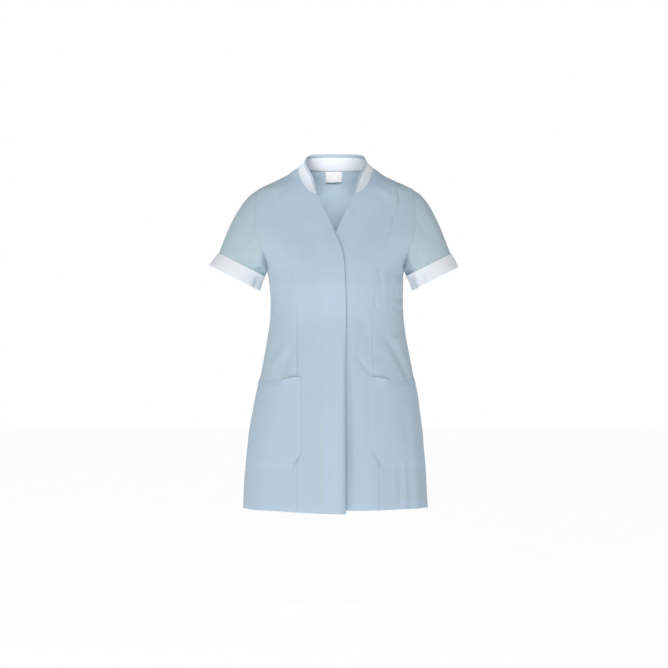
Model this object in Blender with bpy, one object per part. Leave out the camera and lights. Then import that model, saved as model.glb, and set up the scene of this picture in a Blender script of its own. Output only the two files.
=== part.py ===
"""A short-sleeved work tunic in its worn, hollow form: one closed solid for each piece that is cut and sewn.

Metres, +Z up, front towards -Y. The origin lies on the wearer's centre line, level with the tops of the
shoulders, where the tunic is carried. Angles run round the body from the centre front (0 degrees) to the
wearer's left side seam (90 degrees) and the centre back (180 degrees), and are negative on the right.
"""

import math
from collections import namedtuple

import bmesh
import bpy
import numpy as np
from mathutils import Matrix, Vector

# Cloth and gaps
CLOTH = 0.0015
COLLAR_CLOTH = 0.0020
CUFF_CLOTH = 0.0020
BINDING_CLOTH = 0.0026
LABEL_CLOTH = 0.0010
SEAM_GAP = 0.0003

# Levels
HEM = -0.788
POCKET_BOTTOM = -0.695
POCKET_TOP = -0.479
UNDERARM = -0.232
SHOULDER_TIP = -0.0455
NECK_POINT = 0.010
BACK_NECK = 0.006
COLLAR_TIP = -0.0545
PRINCESS_TOP = -0.0245

# The hollow form that the worn cloth takes, as level sections
BodySection = namedtuple("BodySection", "height half_width front back squareness")
BODY_SECTIONS = [
    BodySection(-0.800, 0.2175, 0.1500, 0.1520, 2.15),
    BodySection(-0.700, 0.2120, 0.1480, 0.1495, 2.15),
    BodySection(-0.606, 0.2020, 0.1440, 0.1430, 2.15),
    BodySection(-0.536, 0.1920, 0.1385, 0.1345, 2.15),
    BodySection(-0.465, 0.1780, 0.1310, 0.1210, 2.18),
    BodySection(-0.395, 0.1645, 0.1240, 0.1050, 2.20),
    BodySection(-0.336, 0.1570, 0.1215, 0.0965, 2.22),
    BodySection(-0.300, 0.1565, 0.1265, 0.0990, 2.25),
    BodySection(-0.265, 0.1580, 0.1310, 0.1050, 2.28),
    BodySection(-0.232, 0.1615, 0.1285, 0.1100, 2.30),
    BodySection(-0.200, 0.1820, 0.1215, 0.1130, 2.28),
    BodySection(-0.150, 0.2110, 0.1060, 0.1130, 2.20),
    BodySection(-0.100, 0.2110, 0.0900, 0.1050, 2.10),
    BodySection(-0.0545, 0.1930, 0.0755, 0.0930, 2.00),
    BodySection(-0.042, 0.1820, 0.0710, 0.0890, 2.00),
    BodySection(-0.0305, 0.1600, 0.0660, 0.0850, 2.00),
    BodySection(-0.019, 0.1350, 0.0595, 0.0800, 2.00),
    BodySection(-0.007, 0.1130, 0.0520, 0.0745, 2.00),
    BodySection(0.005, 0.0965, 0.0450, 0.0700, 2.00),
    BodySection(0.012, 0.0845, 0.0400, 0.0680, 2.00),
]

# Soft upright folds, deepest at the hem: outwards where the depth is positive
Fold = namedtuple("Fold", "angle top spread depth")
FOLDS = [
    Fold(10, -0.42, 5.0, -0.0045),
    Fold(22, -0.40, 7.0, 0.0040),
    Fold(58, -0.50, 6.0, 0.0045),
    Fold(76, -0.44, 8.0, -0.0030),
    Fold(-34, -0.46, 8.0, -0.0030),
    Fold(-52, -0.42, 8.0, 0.0035),
    Fold(118, -0.36, 9.0, 0.0045),
    Fold(142, -0.36, 9.0, -0.0045),
    Fold(166, -0.40, 9.0, 0.0035),
    Fold(-124, -0.36, 9.0, 0.0045),
    Fold(-150, -0.38, 9.0, -0.0045),
]

# Front seams, as the distance from the centre line at each level. The two princess seams hang unevenly.
PrincessPoint = namedtuple("PrincessPoint", "height right left")
PRINCESS_SEAM = [
    PrincessPoint(-0.800, 0.0880, 0.1010),
    PrincessPoint(-0.700, 0.0880, 0.0985),
    PrincessPoint(-0.580, 0.0880, 0.0930),
    PrincessPoint(-0.470, 0.0882, 0.0880),
    PrincessPoint(-0.355, 0.0905, 0.0845),
    PrincessPoint(-0.310, 0.0920, 0.0875),
    PrincessPoint(-0.273, 0.0965, 0.0945),
    PrincessPoint(-0.239, 0.1030, 0.1025),
    PrincessPoint(-0.193, 0.1110, 0.1110),
    PrincessPoint(-0.156, 0.1210, 0.1210),
    PrincessPoint(-0.120, 0.1330, 0.1330),
    PrincessPoint(-0.090, 0.1420, 0.1420),
    PrincessPoint(-0.060, 0.1460, 0.1460),
    PrincessPoint(-0.0245, 0.1465, 0.1465),
]
# The front edges and the V neck above them: negative past the centre line, where the fronts overlap
SeamPoint = namedtuple("SeamPoint", "height across")
OVERLAP_EDGE = [
    SeamPoint(-0.800, -0.0238),
    SeamPoint(-0.500, -0.0232),
    SeamPoint(-0.250, -0.0215),
    SeamPoint(-0.205, -0.0185),
    SeamPoint(-0.180, -0.0130),
    SeamPoint(-0.150, 0.0000),
    SeamPoint(-0.100, 0.0222),
    SeamPoint(-0.0545, 0.0435),
]
UNDERLAP_EDGE = [
    SeamPoint(-0.800, -0.0180),
    SeamPoint(-0.250, -0.0180),
    SeamPoint(-0.205, -0.0160),
    SeamPoint(-0.180, -0.0115),
    SeamPoint(-0.150, 0.0000),
    SeamPoint(-0.100, 0.0222),
    SeamPoint(-0.0545, 0.0435),
]
# The collar seam, from the collar's front tip to the shoulder seam
FRONT_NECK = [
    SeamPoint(-0.0545, 0.0435),
    SeamPoint(-0.0530, 0.0510),
    SeamPoint(-0.0465, 0.0625),
    SeamPoint(-0.0330, 0.0735),
    SeamPoint(-0.0160, 0.0825),
    SeamPoint(-0.0030, 0.0862),
    SeamPoint(0.0100, 0.0880),
]

# The collar's upper edge, from the centre back (share 0) to the front tip (share 1)
CollarPoint = namedtuple("CollarPoint", "share across back height")
COLLAR_EDGE = [
    CollarPoint(0.00, 0.0000, 0.0620, 0.0475),
    CollarPoint(0.12, 0.0290, 0.0570, 0.0468),
    CollarPoint(0.25, 0.0520, 0.0410, 0.0445),
    CollarPoint(0.38, 0.0640, 0.0190, 0.0400),
    CollarPoint(0.53, 0.0690, -0.0040, 0.0320),
    CollarPoint(0.64, 0.0695, -0.0225, 0.0185),
    CollarPoint(0.74, 0.0625, -0.0380, 0.0030),
    CollarPoint(0.84, 0.0530, -0.0530, -0.0155),
    CollarPoint(0.93, 0.0470, -0.0640, -0.0350),
    CollarPoint(1.00, 0.0438, -0.0715, -0.0500),
]
COLLAR_BULGE = 0.09
BINDING_HEIGHT = 0.0080
BINDING_SHARE = 0.45

# The overlap is lifted clear of the press studs that it hides
OVERLAP_LIFT = 0.0044
LIFT_STARTS = 0.048
LIFT_FULL = 0.021
LIFT_FADES = -0.100
STUD_RADIUS = 0.0060
STUD_THICKNESS = 0.0018
STUD_LEVELS = np.linspace(-0.205, -0.655, 6)

# Armholes and sleeves
ARMHOLE_ANGLE = math.radians(31)
ARMHOLE_ROUNDNESS = 0.7
SleeveRing = namedtuple("SleeveRing", "across height half_width half_depth")
CUFF_SEAM = {
    "right": SleeveRing(0.2205, -0.2190, 0.0604, 0.0520),
    "left": SleeveRing(0.2189, -0.2198, 0.0586, 0.0520),
}
CUFF_EDGE = {
    "right": SleeveRing(0.2360, -0.2505, 0.0675, 0.0585),
    "left": SleeveRing(0.2317, -0.2527, 0.0626, 0.0585),
}
SLEEVE_LEAN = math.radians(26.8)
CAP_DIRECTION = Vector((0.914, 0.0, -0.406))
END_DIRECTION = Vector((0.37, 0.0, -0.93))
SLEEVE_FULLNESS = 0.77

# Pockets
POCKET_PAST_SEAM = 0.0120
POCKET_FIRST_COLUMN = 0.0120
POCKET_CUT_CORNER = 0.045
POCKET_SAG = 0.011
POCKET_GAPE = 0.0030
POCKET_SIDE_MARGIN = 0.0040

# The blank label inside the neck: its rows' heights and distances from the back's inner face
LABEL_WIDTH = 0.0400
LABEL_COLUMNS = 4
LABEL_ASIDE = 0.0040
LABEL_ROWS = [(-0.0215, 0.0035), (-0.0085, 0.0022), (0.0045, 0.0008)]

# Rows and columns of the cloth's points
ROWS_BELOW_POCKET = 3
ROWS_OF_POCKET = 6
ROWS_ABOVE_POCKET = 7
ARMHOLE_ROWS = 14
V_ROWS = 8
BACK_NECK_ROWS = 8
FRONT_COLUMNS = 6
SIDE_COLUMNS = 5
BACK_COLUMNS = 9
SLEEVE_RINGS = 7
CUFF_RINGS = 2
COLLAR_ROWS = 3

# Material: colour as linear red, green and blue, with roughness
LIGHT_BLUE = ("light blue poly-cotton", (0.456, 0.591, 0.686), 0.85)
WHITE = ("white poly-cotton", (0.84, 0.86, 0.91), 0.85)
LABEL_WHITE = ("white satin label", (0.86, 0.84, 0.86), 0.55)
STUD_WHITE = ("white press stud", (0.80, 0.80, 0.80), 0.40)

RIGHT, LEFT = -1, 1
HALF_TURN = math.pi
SIDE_SEAM = math.pi / 2
STEP = 1e-3


def clear_scene():
    for obj in list(bpy.data.objects):
        bpy.data.objects.remove(obj)


def smooth_curve(knots, values):
    """A smooth curve through the values, which may be numbers or points, at rising knots."""
    knots, values = np.asarray(knots, float), np.asarray(values, float)
    slopes = np.gradient(values, knots, axis=0)

    def at(place):
        i = int(np.clip(np.searchsorted(knots, place) - 1, 0, len(knots) - 2))
        step = knots[i + 1] - knots[i]
        t = (place - knots[i]) / step
        from_start = (1 + 2 * t) * (1 - t) ** 2 * values[i] + t * (1 - t) ** 2 * step * slopes[i]
        to_end = t * t * (3 - 2 * t) * values[i + 1] + t * t * (t - 1) * step * slopes[i + 1]
        return from_start + to_end

    return at


def column_curve(rows, column):
    return smooth_curve([row.height for row in rows], [getattr(row, column) for row in rows])


def ease(share):
    """0 to 1 with soft ends."""
    share = min(max(share, 0.0), 1.0)
    return share * share * (3 - 2 * share)


half_width_at = column_curve(BODY_SECTIONS, "half_width")
front_at = column_curve(BODY_SECTIONS, "front")
back_at = column_curve(BODY_SECTIONS, "back")
squareness_at = column_curve(BODY_SECTIONS, "squareness")


def signed_power(value, power):
    return math.copysign(abs(value) ** power, value)


def fold_depth(angle, height):
    """How far the folds push the cloth out at this place."""
    total = 0.0
    for fold in FOLDS:
        turn = math.degrees(angle) - fold.angle
        turn = (turn + 180) % 360 - 180
        grown = ease((fold.top - height) / (fold.top - HEM))
        total += fold.depth * grown * math.exp(-((turn / fold.spread) ** 2))
    return total


def body_point(angle, height):
    """The cloth's outer face at this angle and height."""
    power = 2 / squareness_at(height)
    width = half_width_at(height)
    depth = front_at(height) if math.cos(angle) > 0 else back_at(height)
    swell = 1 + fold_depth(angle, height) / width
    x = swell * width * signed_power(math.sin(angle), power)
    y = -swell * depth * signed_power(math.cos(angle), power)
    return Vector((x, y, height))


def body_normal(angle, height):
    round_it = body_point(angle + STEP, height) - body_point(angle - STEP, height)
    up_it = body_point(angle, height + STEP) - body_point(angle, height - STEP)
    return round_it.cross(up_it).normalized()


def angle_at(across, height):
    """The angle at which the front lies this far from the centre line."""
    share = min(abs(across) / half_width_at(height), 1.0)
    angle = math.asin(share ** (squareness_at(height) / 2))
    return math.copysign(angle, across)


def body_levels():
    """The rows' heights from the hem to the underarm, with rows at the pockets' edges."""
    below = np.linspace(HEM, POCKET_BOTTOM, ROWS_BELOW_POCKET + 1)
    beside = np.linspace(POCKET_BOTTOM, POCKET_TOP, ROWS_OF_POCKET + 1)
    above = np.linspace(POCKET_TOP, UNDERARM, ROWS_ABOVE_POCKET + 1)
    return [*below, *beside[1:], *above[1:]]


def armhole(direction):
    """(angle, height) pairs up one side of the armhole: direction 1 is its back half, and -1 its front."""
    middle, reach = (SHOULDER_TIP + UNDERARM) / 2, (SHOULDER_TIP - UNDERARM) / 2
    places = []
    for row in range(ARMHOLE_ROWS + 1):
        turn = HALF_TURN * row / ARMHOLE_ROWS
        opening = ARMHOLE_ANGLE * max(math.sin(turn), 0.0) ** ARMHOLE_ROUNDNESS
        places.append((SIDE_SEAM + direction * opening, middle - reach * math.cos(turn)))
    return places


def side_edge(direction):
    """(angle, height) pairs up the side seam and on round the armhole."""
    return [(SIDE_SEAM, height) for height in body_levels()[:-1]] + armhole(direction)


def princess_edge(side):
    """(angle, height) pairs up the princess seam, row by row with the armhole."""
    across_at = column_curve(PRINCESS_SEAM, "right" if side == RIGHT else "left")
    levels = body_levels()[:-1]
    stretch = (PRINCESS_TOP - UNDERARM) / (SHOULDER_TIP - UNDERARM)
    levels += [UNDERARM + (height - UNDERARM) * stretch for _, height in armhole(-1)]
    edge = [(angle_at(across_at(height), height), height) for height in levels]
    edge[-1] = (SIDE_SEAM, PRINCESS_TOP)
    return edge


def evenly_along(places, count):
    """Places at even distances along a run of (height, across) rows, ends included."""
    line = np.array([(row.across, row.height) for row in places])
    gone = np.concatenate([[0], np.cumsum(np.linalg.norm(np.diff(line, axis=0), axis=1))])
    curve = smooth_curve(gone, line)
    return [curve(distance) for distance in np.linspace(0, gone[-1], count + 1)]


def front_edge(rows):
    """(angle, height) pairs up a front's free edge, its V neck and the collar seam."""
    across_at = column_curve(rows, "across")
    levels = [*body_levels()[:-1], *np.linspace(UNDERARM, COLLAR_TIP, V_ROWS + 1)]
    edge = [(angle_at(across_at(height), height), height) for height in levels]
    for across, height in evenly_along(FRONT_NECK, ARMHOLE_ROWS - V_ROWS)[1:]:
        edge.append((angle_at(across, height), height))
    edge[-1] = (SIDE_SEAM, NECK_POINT)
    return edge


def back_middle():
    """(angle, height) pairs up the centre back and out along the neck to the shoulder seam."""
    levels = np.linspace(UNDERARM, BACK_NECK, ARMHOLE_ROWS - BACK_NECK_ROWS + 1)
    edge = [(HALF_TURN, height) for height in [*body_levels()[:-1], *levels]]
    for row in range(1, BACK_NECK_ROWS + 1):
        share = row / BACK_NECK_ROWS
        height = BACK_NECK + share * (NECK_POINT - BACK_NECK)
        edge.append((HALF_TURN + share * (SIDE_SEAM - HALF_TURN), height))
    return edge


def share_of_width(first, last, width):
    """The share of a panel's width, at pocket height, that a length round the body takes."""
    row = body_levels().index(POCKET_TOP)
    start, end = body_point(*first[row]), body_point(*last[row])
    return width / (end - start).length


def between(first, last, shares, side):
    """Rows of (angle, height) pairs that run straight from one edge to the other, on the side asked for."""
    rows = []
    for (angle_a, height_a), (angle_b, height_b) in zip(first, last):
        row = []
        for share in shares:
            angle = angle_a + share * (angle_b - angle_a)
            row.append((side * angle, height_a + share * (height_b - height_a)))
        rows.append(row)
    return rows


def on_body(places, raised=None):
    """Points and outward normals for rows of places, with each point moved out as raised asks."""
    points, normals = [], []
    for row in places:
        normals.append([body_normal(*place) for place in row])
        points.append([body_point(*place) for place in row])
        if raised:
            points[-1] = [
                point + normal * raised(point) for point, normal in zip(points[-1], normals[-1])
            ]
    return points, normals


def lift(point):
    """How far the overlapping front stands off the one below it."""
    towards_edge = ease((point.x + LIFT_STARTS) / (LIFT_STARTS - LIFT_FULL))
    below_neck = ease((LIFT_FADES - point.z) / (LIFT_FADES - OVERLAP_EDGE[-3].height))
    return OVERLAP_LIFT * towards_edge * below_neck


def grid_normals(points, closed):
    """Outward normals of a tube's or a band's rows of points, from their neighbours."""
    rows = np.array([[tuple(point) for point in row] for row in points])
    if closed:
        rows = np.concatenate([rows[:, -2:-1], rows, rows[:, 1:2]], axis=1)
    up_it, round_it = np.gradient(rows, axis=(0, 1))
    found = np.cross(round_it, up_it)
    if closed:
        found = found[:, 1:-1]
    found /= np.linalg.norm(found, axis=2, keepdims=True)
    return [[Vector(normal) for normal in row] for row in found]


def draw_in(mesh, distance):
    """Moves every edge of a piece in along the cloth, which leaves the seam gap to its neighbour."""
    inward = {}
    for edge in [edge for edge in mesh.edges if edge.is_boundary]:
        face = edge.link_faces[0]
        first, second = edge.verts
        across = (second.co - first.co).cross(face.normal).normalized()
        middle = (first.co + second.co) / 2
        if across.dot(face.calc_center_median() - middle) < 0:
            across.negate()
        for vertex in edge.verts:
            inward.setdefault(vertex, []).append(across)
    for vertex, (one, other) in inward.items():
        vertex.co += (one + other) * distance / (1 + one.dot(other))


def new_object(name, mesh, material):
    data = bpy.data.meshes.new(name)
    mesh.to_mesh(data)
    mesh.free()
    data.materials.append(finish(*material))
    obj = bpy.data.objects.new(name, data)
    bpy.context.scene.collection.objects.link(obj)
    return obj


def finish(name, colour, roughness):
    material = bpy.data.materials.get(name)
    if material is None:
        material = bpy.data.materials.new(name)
        material.use_nodes = True
        shader = material.node_tree.nodes["Principled BSDF"]
        shader.inputs["Base Color"].default_value = (*colour, 1)
        shader.inputs["Roughness"].default_value = roughness
    return material


def wall(name, patches, thickness, material, gap=SEAM_GAP / 2):
    """A closed cloth wall from patches of outer points with their normals. Patches that share points join."""
    mesh = bmesh.new()
    outward = mesh.verts.layers.float_vector.new("outward")
    made = {}

    def vertex(point, normal):
        key = tuple(round(value, 6) for value in point)
        if key not in made:
            made[key] = mesh.verts.new(point)
            made[key][outward] = normal
        return made[key]

    for points, normals in patches:
        grid = [[vertex(*pair) for pair in zip(*row)] for row in zip(points, normals)]
        for low, high in zip(grid, grid[1:]):
            for i in range(len(low) - 1):
                corners = [low[i], low[i + 1], high[i + 1], high[i]]
                mesh.faces.new([c for n, c in enumerate(corners) if c not in corners[:n]])
    mesh.normal_update()
    draw_in(mesh, gap)
    copied = bmesh.ops.extrude_face_region(mesh, geom=mesh.faces[:], use_keep_orig=True)
    for item in copied["geom"]:
        if isinstance(item, bmesh.types.BMVert):
            item.co -= item[outward] * thickness
    bmesh.ops.recalc_face_normals(mesh, faces=mesh.faces[:])
    return new_object(name, mesh, material)


def front_shares(side):
    """Columns of a centre front, the last of them along the pocket's inner edge."""
    last = 1 - share_of_width(front_edge(UNDERLAP_EDGE), princess_edge(side), POCKET_PAST_SEAM)
    return [*np.linspace(0, last, FRONT_COLUMNS + 1), 1.0]


def side_shares(side):
    """Columns of a side front, the first of them where the pocket's cut corner ends."""
    first = share_of_width(princess_edge(side), side_edge(-1), POCKET_FIRST_COLUMN)
    return [0.0, *np.linspace(first, 1, SIDE_COLUMNS + 1)]


def front_places(rows, side):
    return between(front_edge(rows), princess_edge(side), front_shares(side), side)


def side_places(side):
    return between(princess_edge(side), side_edge(-1), side_shares(side), side)


def make_fronts():
    raised = on_body(front_places(OVERLAP_EDGE, RIGHT), lift)
    wall("front_right", [raised], CLOTH, LIGHT_BLUE)
    wall("front_left", [on_body(front_places(UNDERLAP_EDGE, LEFT))], CLOTH, LIGHT_BLUE)
    wall("side_front_right", [on_body(side_places(RIGHT))], CLOTH, LIGHT_BLUE)
    wall("side_front_left", [on_body(side_places(LEFT))], CLOTH, LIGHT_BLUE)


def back_places(side):
    return between(side_edge(1), back_middle(), np.linspace(0, 1, BACK_COLUMNS + 1), side)


def make_back():
    halves = [on_body(back_places(side)) for side in (RIGHT, LEFT)]
    wall("back", halves, CLOTH, LIGHT_BLUE)


def column_at(points, normals, column, heights):
    """Points and normals on a panel's column of points, at these heights."""
    levels = [row[column].z for row in points]
    found = []
    for values in (points, normals):
        table = np.array([tuple(row[column]) for row in values])
        found.append(
            [Vector([np.interp(h, levels, table[:, k]) for k in range(3)]) for h in heights]
        )
    return found


def pocket_levels(column, columns):
    """The heights of the pocket's points up one of its columns."""
    rows = [height for height in body_levels() if POCKET_BOTTOM <= height <= POCKET_TOP]
    cut = {0: POCKET_CUT_CORNER, 1: POCKET_CUT_CORNER / 2}.get(column, 0.0)
    sag = POCKET_SAG * math.sin(HALF_TURN * max(column - 1, 0) / (columns - 2))
    low, high = POCKET_BOTTOM + cut, POCKET_TOP - sag
    share = (np.array(rows) - POCKET_BOTTOM) / (POCKET_TOP - POCKET_BOTTOM)
    return low + share * (high - low)


def make_pocket(name, side):
    """A patch pocket over the princess seam, lying on the two front panels' own points."""
    edge = OVERLAP_EDGE if side == RIGHT else UNDERLAP_EDGE
    front = on_body(front_places(edge, side))
    beside = on_body(side_places(side))
    sources = [(front, FRONT_COLUMNS)] + [(beside, column) for column in range(SIDE_COLUMNS + 2)]
    points, normals = [], []
    for column, ((panel_points, panel_normals), source) in enumerate(sources):
        heights = pocket_levels(column, len(sources))
        at, out = column_at(panel_points, panel_normals, source, heights)
        gape = POCKET_GAPE * math.sin(HALF_TURN * column / (len(sources) - 1))
        for i, share in enumerate(np.linspace(0, 1, len(heights))):
            at[i] += out[i] * (SEAM_GAP + CLOTH + gape * share**3)
        points.append(at)
        normals.append(out)
    towards_front = (points[-2][0] - points[-1][0]).normalized()
    points[-1] = [point + towards_front * POCKET_SIDE_MARGIN for point in points[-1]]
    wall(name, [(points, normals)], CLOTH, LIGHT_BLUE)


def neck_line():
    """The collar seam's points, from the right tip round the back to the left tip."""
    half = [body_point(*place) for place in back_middle()[-BACK_NECK_ROWS - 1 :]]
    rows_below = len(body_levels()) - 1 + V_ROWS
    half += [body_point(*place) for place in front_edge(UNDERLAP_EDGE)[rows_below:-1][::-1]]
    mirrored = [Vector((-point.x, point.y, point.z)) for point in half[1:]]
    return mirrored[::-1] + half


def collar_edge_line(seam):
    """The collar's upper edge above each point of its seam."""
    edge_at = smooth_curve(
        [row.share for row in COLLAR_EDGE], [(row.across, row.back, row.height) for row in COLLAR_EDGE]
    )
    middle = len(seam) // 2
    gone = np.cumsum([0] + [(b - a).length for a, b in zip(seam[middle:], seam[middle + 1 :])])
    half = [Vector(edge_at(share)) for share in gone / gone[-1]]
    mirrored = [Vector((-point.x, point.y, point.z)) for point in half[1:]]
    return mirrored[::-1] + half


def collar_grid():
    """Rows of the whole collar with their normals. Its last row but one is where the binding starts."""
    seam = neck_line()
    edge = collar_edge_line(seam)
    seam = [point + Vector((0, 0, SEAM_GAP)) for point in seam]
    points = []
    for row in range(COLLAR_ROWS + 2):
        line = []
        for start, end in zip(seam, edge):
            height = (end - start).length
            white = 1 - min(BINDING_HEIGHT / height, BINDING_SHARE)
            share = white * row / COLLAR_ROWS if row <= COLLAR_ROWS else 1.0
            outward = Vector((start.x, start.y, 0)).normalized()
            bulge = COLLAR_BULGE * height * math.sin(HALF_TURN * share)
            line.append(start.lerp(end, share) - outward * bulge)
        points.append(line)
    return points, grid_normals(points, closed=False)


def make_collar():
    points, normals = collar_grid()
    wall("collar", [(points[:-1], normals[:-1])], COLLAR_CLOTH, WHITE)
    proud = (BINDING_CLOTH - COLLAR_CLOTH) / 2
    binding = [[p + n * proud for p, n in zip(*row)] for row in zip(points[-2:], normals[-2:])]
    wall("collar_binding", [(binding, normals[-2:])], BINDING_CLOTH, LIGHT_BLUE)


def ring_point(ring, turn, direction, side):
    """A point of a level-backed ring across the sleeve: turn 0 is at the underarm, and half a turn on top."""
    outward = -math.cos(turn) * ring.half_width
    return Vector((
        side * (ring.across + outward * math.cos(SLEEVE_LEAN)),
        direction * math.sin(turn) * ring.half_depth,
        ring.height + outward * math.sin(SLEEVE_LEAN),
    ))


def armhole_round(side):
    """(angle, height, turn, direction) all round an armhole, up its front and down its back."""
    front, back = armhole(-1), armhole(1)
    turns = [HALF_TURN * row / ARMHOLE_ROWS for row in range(ARMHOLE_ROWS + 1)]
    places = [(side * a, h, turn, -1) for (a, h), turn in zip(front, turns)]
    places += [(side * a, h, turn, 1) for (a, h), turn in list(zip(back, turns))[::-1][1:]]
    return places


def sleeve_curve(start, end, turn, side):
    """The sleeve's line of cloth from the armhole to the cuff seam, as a function of the share gone."""
    down = (1 + math.cos(turn)) / 2
    end_way = END_DIRECTION.normalized()
    leaving = CAP_DIRECTION.lerp(end_way, down).normalized()
    mirror = Vector((side, 1, 1))
    reach = SLEEVE_FULLNESS * (end - start).length

    def at(share):
        s = share
        return (
            start * (1 + 2 * s) * (1 - s) ** 2
            + leaving * mirror * (s * (1 - s) ** 2 * reach)
            + end * s * s * (3 - 2 * s)
            + end_way * mirror * (s * s * (s - 1) * reach)
        )

    return at, leaving * mirror


def make_sleeve(side, word):
    places = armhole_round(side)
    centre = sum((body_point(a, h) for a, h, _, _ in places), Vector()) / len(places)
    starts = [body_point(angle, height) for angle, height, _, _ in places]
    outward = [body_normal(angle, height) for angle, height, _, _ in places]
    count = len(places)
    lines, leavings = [], []
    for i, (_, _, turn, direction) in enumerate(places):
        along_seam = starts[(i + 1) % (count - 1)] - starts[(i - 1) % (count - 1)]
        off_body = outward[i].cross(along_seam).normalized()
        if off_body.dot(centre - starts[i]) < 0:
            off_body.negate()
        end = ring_point(CUFF_SEAM[word], turn, direction, side)
        curve, leaving = sleeve_curve(starts[i], end, turn, side)
        line = [curve(ring / SLEEVE_RINGS) for ring in range(SLEEVE_RINGS + 1)]
        line[0] = line[0] + (off_body + leaving).normalized() * SEAM_GAP
        lines.append(line)
        leavings.append(leaving)
    rows = [list(row) for row in zip(*lines)]
    normals = [[-side * n for n in row] for row in grid_normals(rows, closed=True)]
    for i, normal in enumerate(outward):
        if leavings[i].dot(normal) < 0:
            normals[0][i] = normal
    wall(f"sleeve_{word}", [(rows, normals)], CLOTH, LIGHT_BLUE)


def make_cuff(side, word):
    turns = [(HALF_TURN * row / ARMHOLE_ROWS, -1) for row in range(ARMHOLE_ROWS + 1)]
    turns += [(turn, 1) for turn, _ in turns[::-1][1:]]
    rows = []
    for share in np.linspace(0, 1, CUFF_RINGS + 1):
        pairs = zip(CUFF_SEAM[word], CUFF_EDGE[word])
        ring = SleeveRing(*[start + share * (end - start) for start, end in pairs])
        rows.append([ring_point(ring, turn, direction, side) for turn, direction in turns])
    normals = [[-side * n for n in row] for row in grid_normals(rows, closed=True)]
    wall(f"cuff_{word}", [(rows, normals)], CUFF_CLOTH, WHITE)


def make_label():
    """A blank woven label that hangs inside the back, from just below the collar seam."""
    points, normals = [], []
    for height, away in LABEL_ROWS:
        half = LABEL_WIDTH / 2
        across = np.linspace(half, -half, LABEL_COLUMNS + 1) - LABEL_ASIDE
        angles = [HALF_TURN - angle_at(x, height) for x in across]
        normals.append([body_normal(angle, height) for angle in angles])
        row = [body_point(angle, height) for angle in angles]
        points.append([p - n * (CLOTH + away) for p, n in zip(row, normals[-1])])
    wall("neck_label", [(points, normals)], LABEL_CLOTH, LABEL_WHITE, gap=0.0)


def make_stud(name, height):
    """A closed press stud, flat on the under front."""
    mesh = bmesh.new()
    bmesh.ops.create_cone(
        mesh,
        cap_ends=True,
        segments=16,
        radius1=STUD_RADIUS,
        radius2=STUD_RADIUS * 0.9,
        depth=STUD_THICKNESS,
    )
    stud = new_object(name, mesh, STUD_WHITE)
    normal = body_normal(0, height)
    place = body_point(0, height) + normal * (SEAM_GAP + STUD_THICKNESS / 2)
    turned = normal.to_track_quat("Z", "Y").to_matrix().to_4x4()
    stud.matrix_world = Matrix.Translation(place) @ turned


def main():
    clear_scene()
    make_fronts()
    make_back()
    for side, word in ((RIGHT, "right"), (LEFT, "left")):
        make_sleeve(side, word)
        make_cuff(side, word)
        make_pocket(f"pocket_{word}", side)
    make_collar()
    make_label()
    for number, height in enumerate(STUD_LEVELS, 1):
        make_stud(f"stud_{number}", height)


main()
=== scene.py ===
"""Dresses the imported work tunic: soft cloth with its creases, seams, stitching, trim, light and camera.

Everything is in metres, or in mm in the tables that say so, in the part's own frame: +Z up, the front towards
-Y, the origin between the wearer's shoulders. Angles run round the body from the centre front (0) to the
wearer's left side seam (90 degrees) and the centre back (180 degrees), and are negative on the right.
"""

import math

import bmesh
import bpy
import numpy as np
from mathutils import Matrix, Vector, noise


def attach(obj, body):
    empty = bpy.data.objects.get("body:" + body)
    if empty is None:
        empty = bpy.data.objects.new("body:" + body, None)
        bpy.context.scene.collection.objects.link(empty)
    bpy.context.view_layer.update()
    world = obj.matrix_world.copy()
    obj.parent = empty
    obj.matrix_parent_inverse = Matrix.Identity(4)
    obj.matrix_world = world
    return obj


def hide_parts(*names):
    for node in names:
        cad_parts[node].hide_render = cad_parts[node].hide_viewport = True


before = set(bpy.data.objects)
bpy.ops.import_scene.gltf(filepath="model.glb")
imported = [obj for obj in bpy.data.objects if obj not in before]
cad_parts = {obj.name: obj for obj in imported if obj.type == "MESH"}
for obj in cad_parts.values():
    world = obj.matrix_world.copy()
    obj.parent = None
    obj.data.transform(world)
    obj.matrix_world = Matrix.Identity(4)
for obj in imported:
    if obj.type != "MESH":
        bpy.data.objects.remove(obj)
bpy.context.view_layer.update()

RIGHT, LEFT = -1, 1
SIDES = ((RIGHT, "right"), (LEFT, "left"))
HALF_TURN = math.pi
SIDE_SEAM = math.pi / 2

# Sizes shared with the solids

HEM = -0.788
POCKET_BOTTOM = -0.695
POCKET_TOP = -0.479
UNDERARM = -0.232
SHOULDER_TIP = -0.0455
NECK_POINT = 0.010
BACK_NECK = 0.006
COLLAR_TIP = -0.0545
PRINCESS_TOP = -0.0245

# The hollow form of the worn cloth, in mm: height, half width, depth in front and behind; and squareness
BODY_SECTIONS = [
    (-800, 217.5, 150, 152, 2.15), (-700, 212, 148, 149.5, 2.15), (-606, 202, 144, 143, 2.15),
    (-536, 192, 138.5, 134.5, 2.15), (-465, 178, 131, 121, 2.18), (-395, 164.5, 124, 105, 2.2),
    (-336, 157, 121.5, 96.5, 2.22), (-300, 156.5, 126.5, 99, 2.25), (-265, 158, 131, 105, 2.28),
    (-232, 161.5, 128.5, 110, 2.3), (-200, 182, 121.5, 113, 2.28), (-150, 211, 106, 113, 2.2),
    (-100, 211, 90, 105, 2.1), (-54.5, 193, 75.5, 93, 2), (-42, 182, 71, 89, 2), (-30.5, 160, 66, 85, 2),
    (-19, 135, 59.5, 80, 2), (-7, 113, 52, 74.5, 2), (5, 96.5, 45, 70, 2), (12, 84.5, 40, 68, 2),
]
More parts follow.
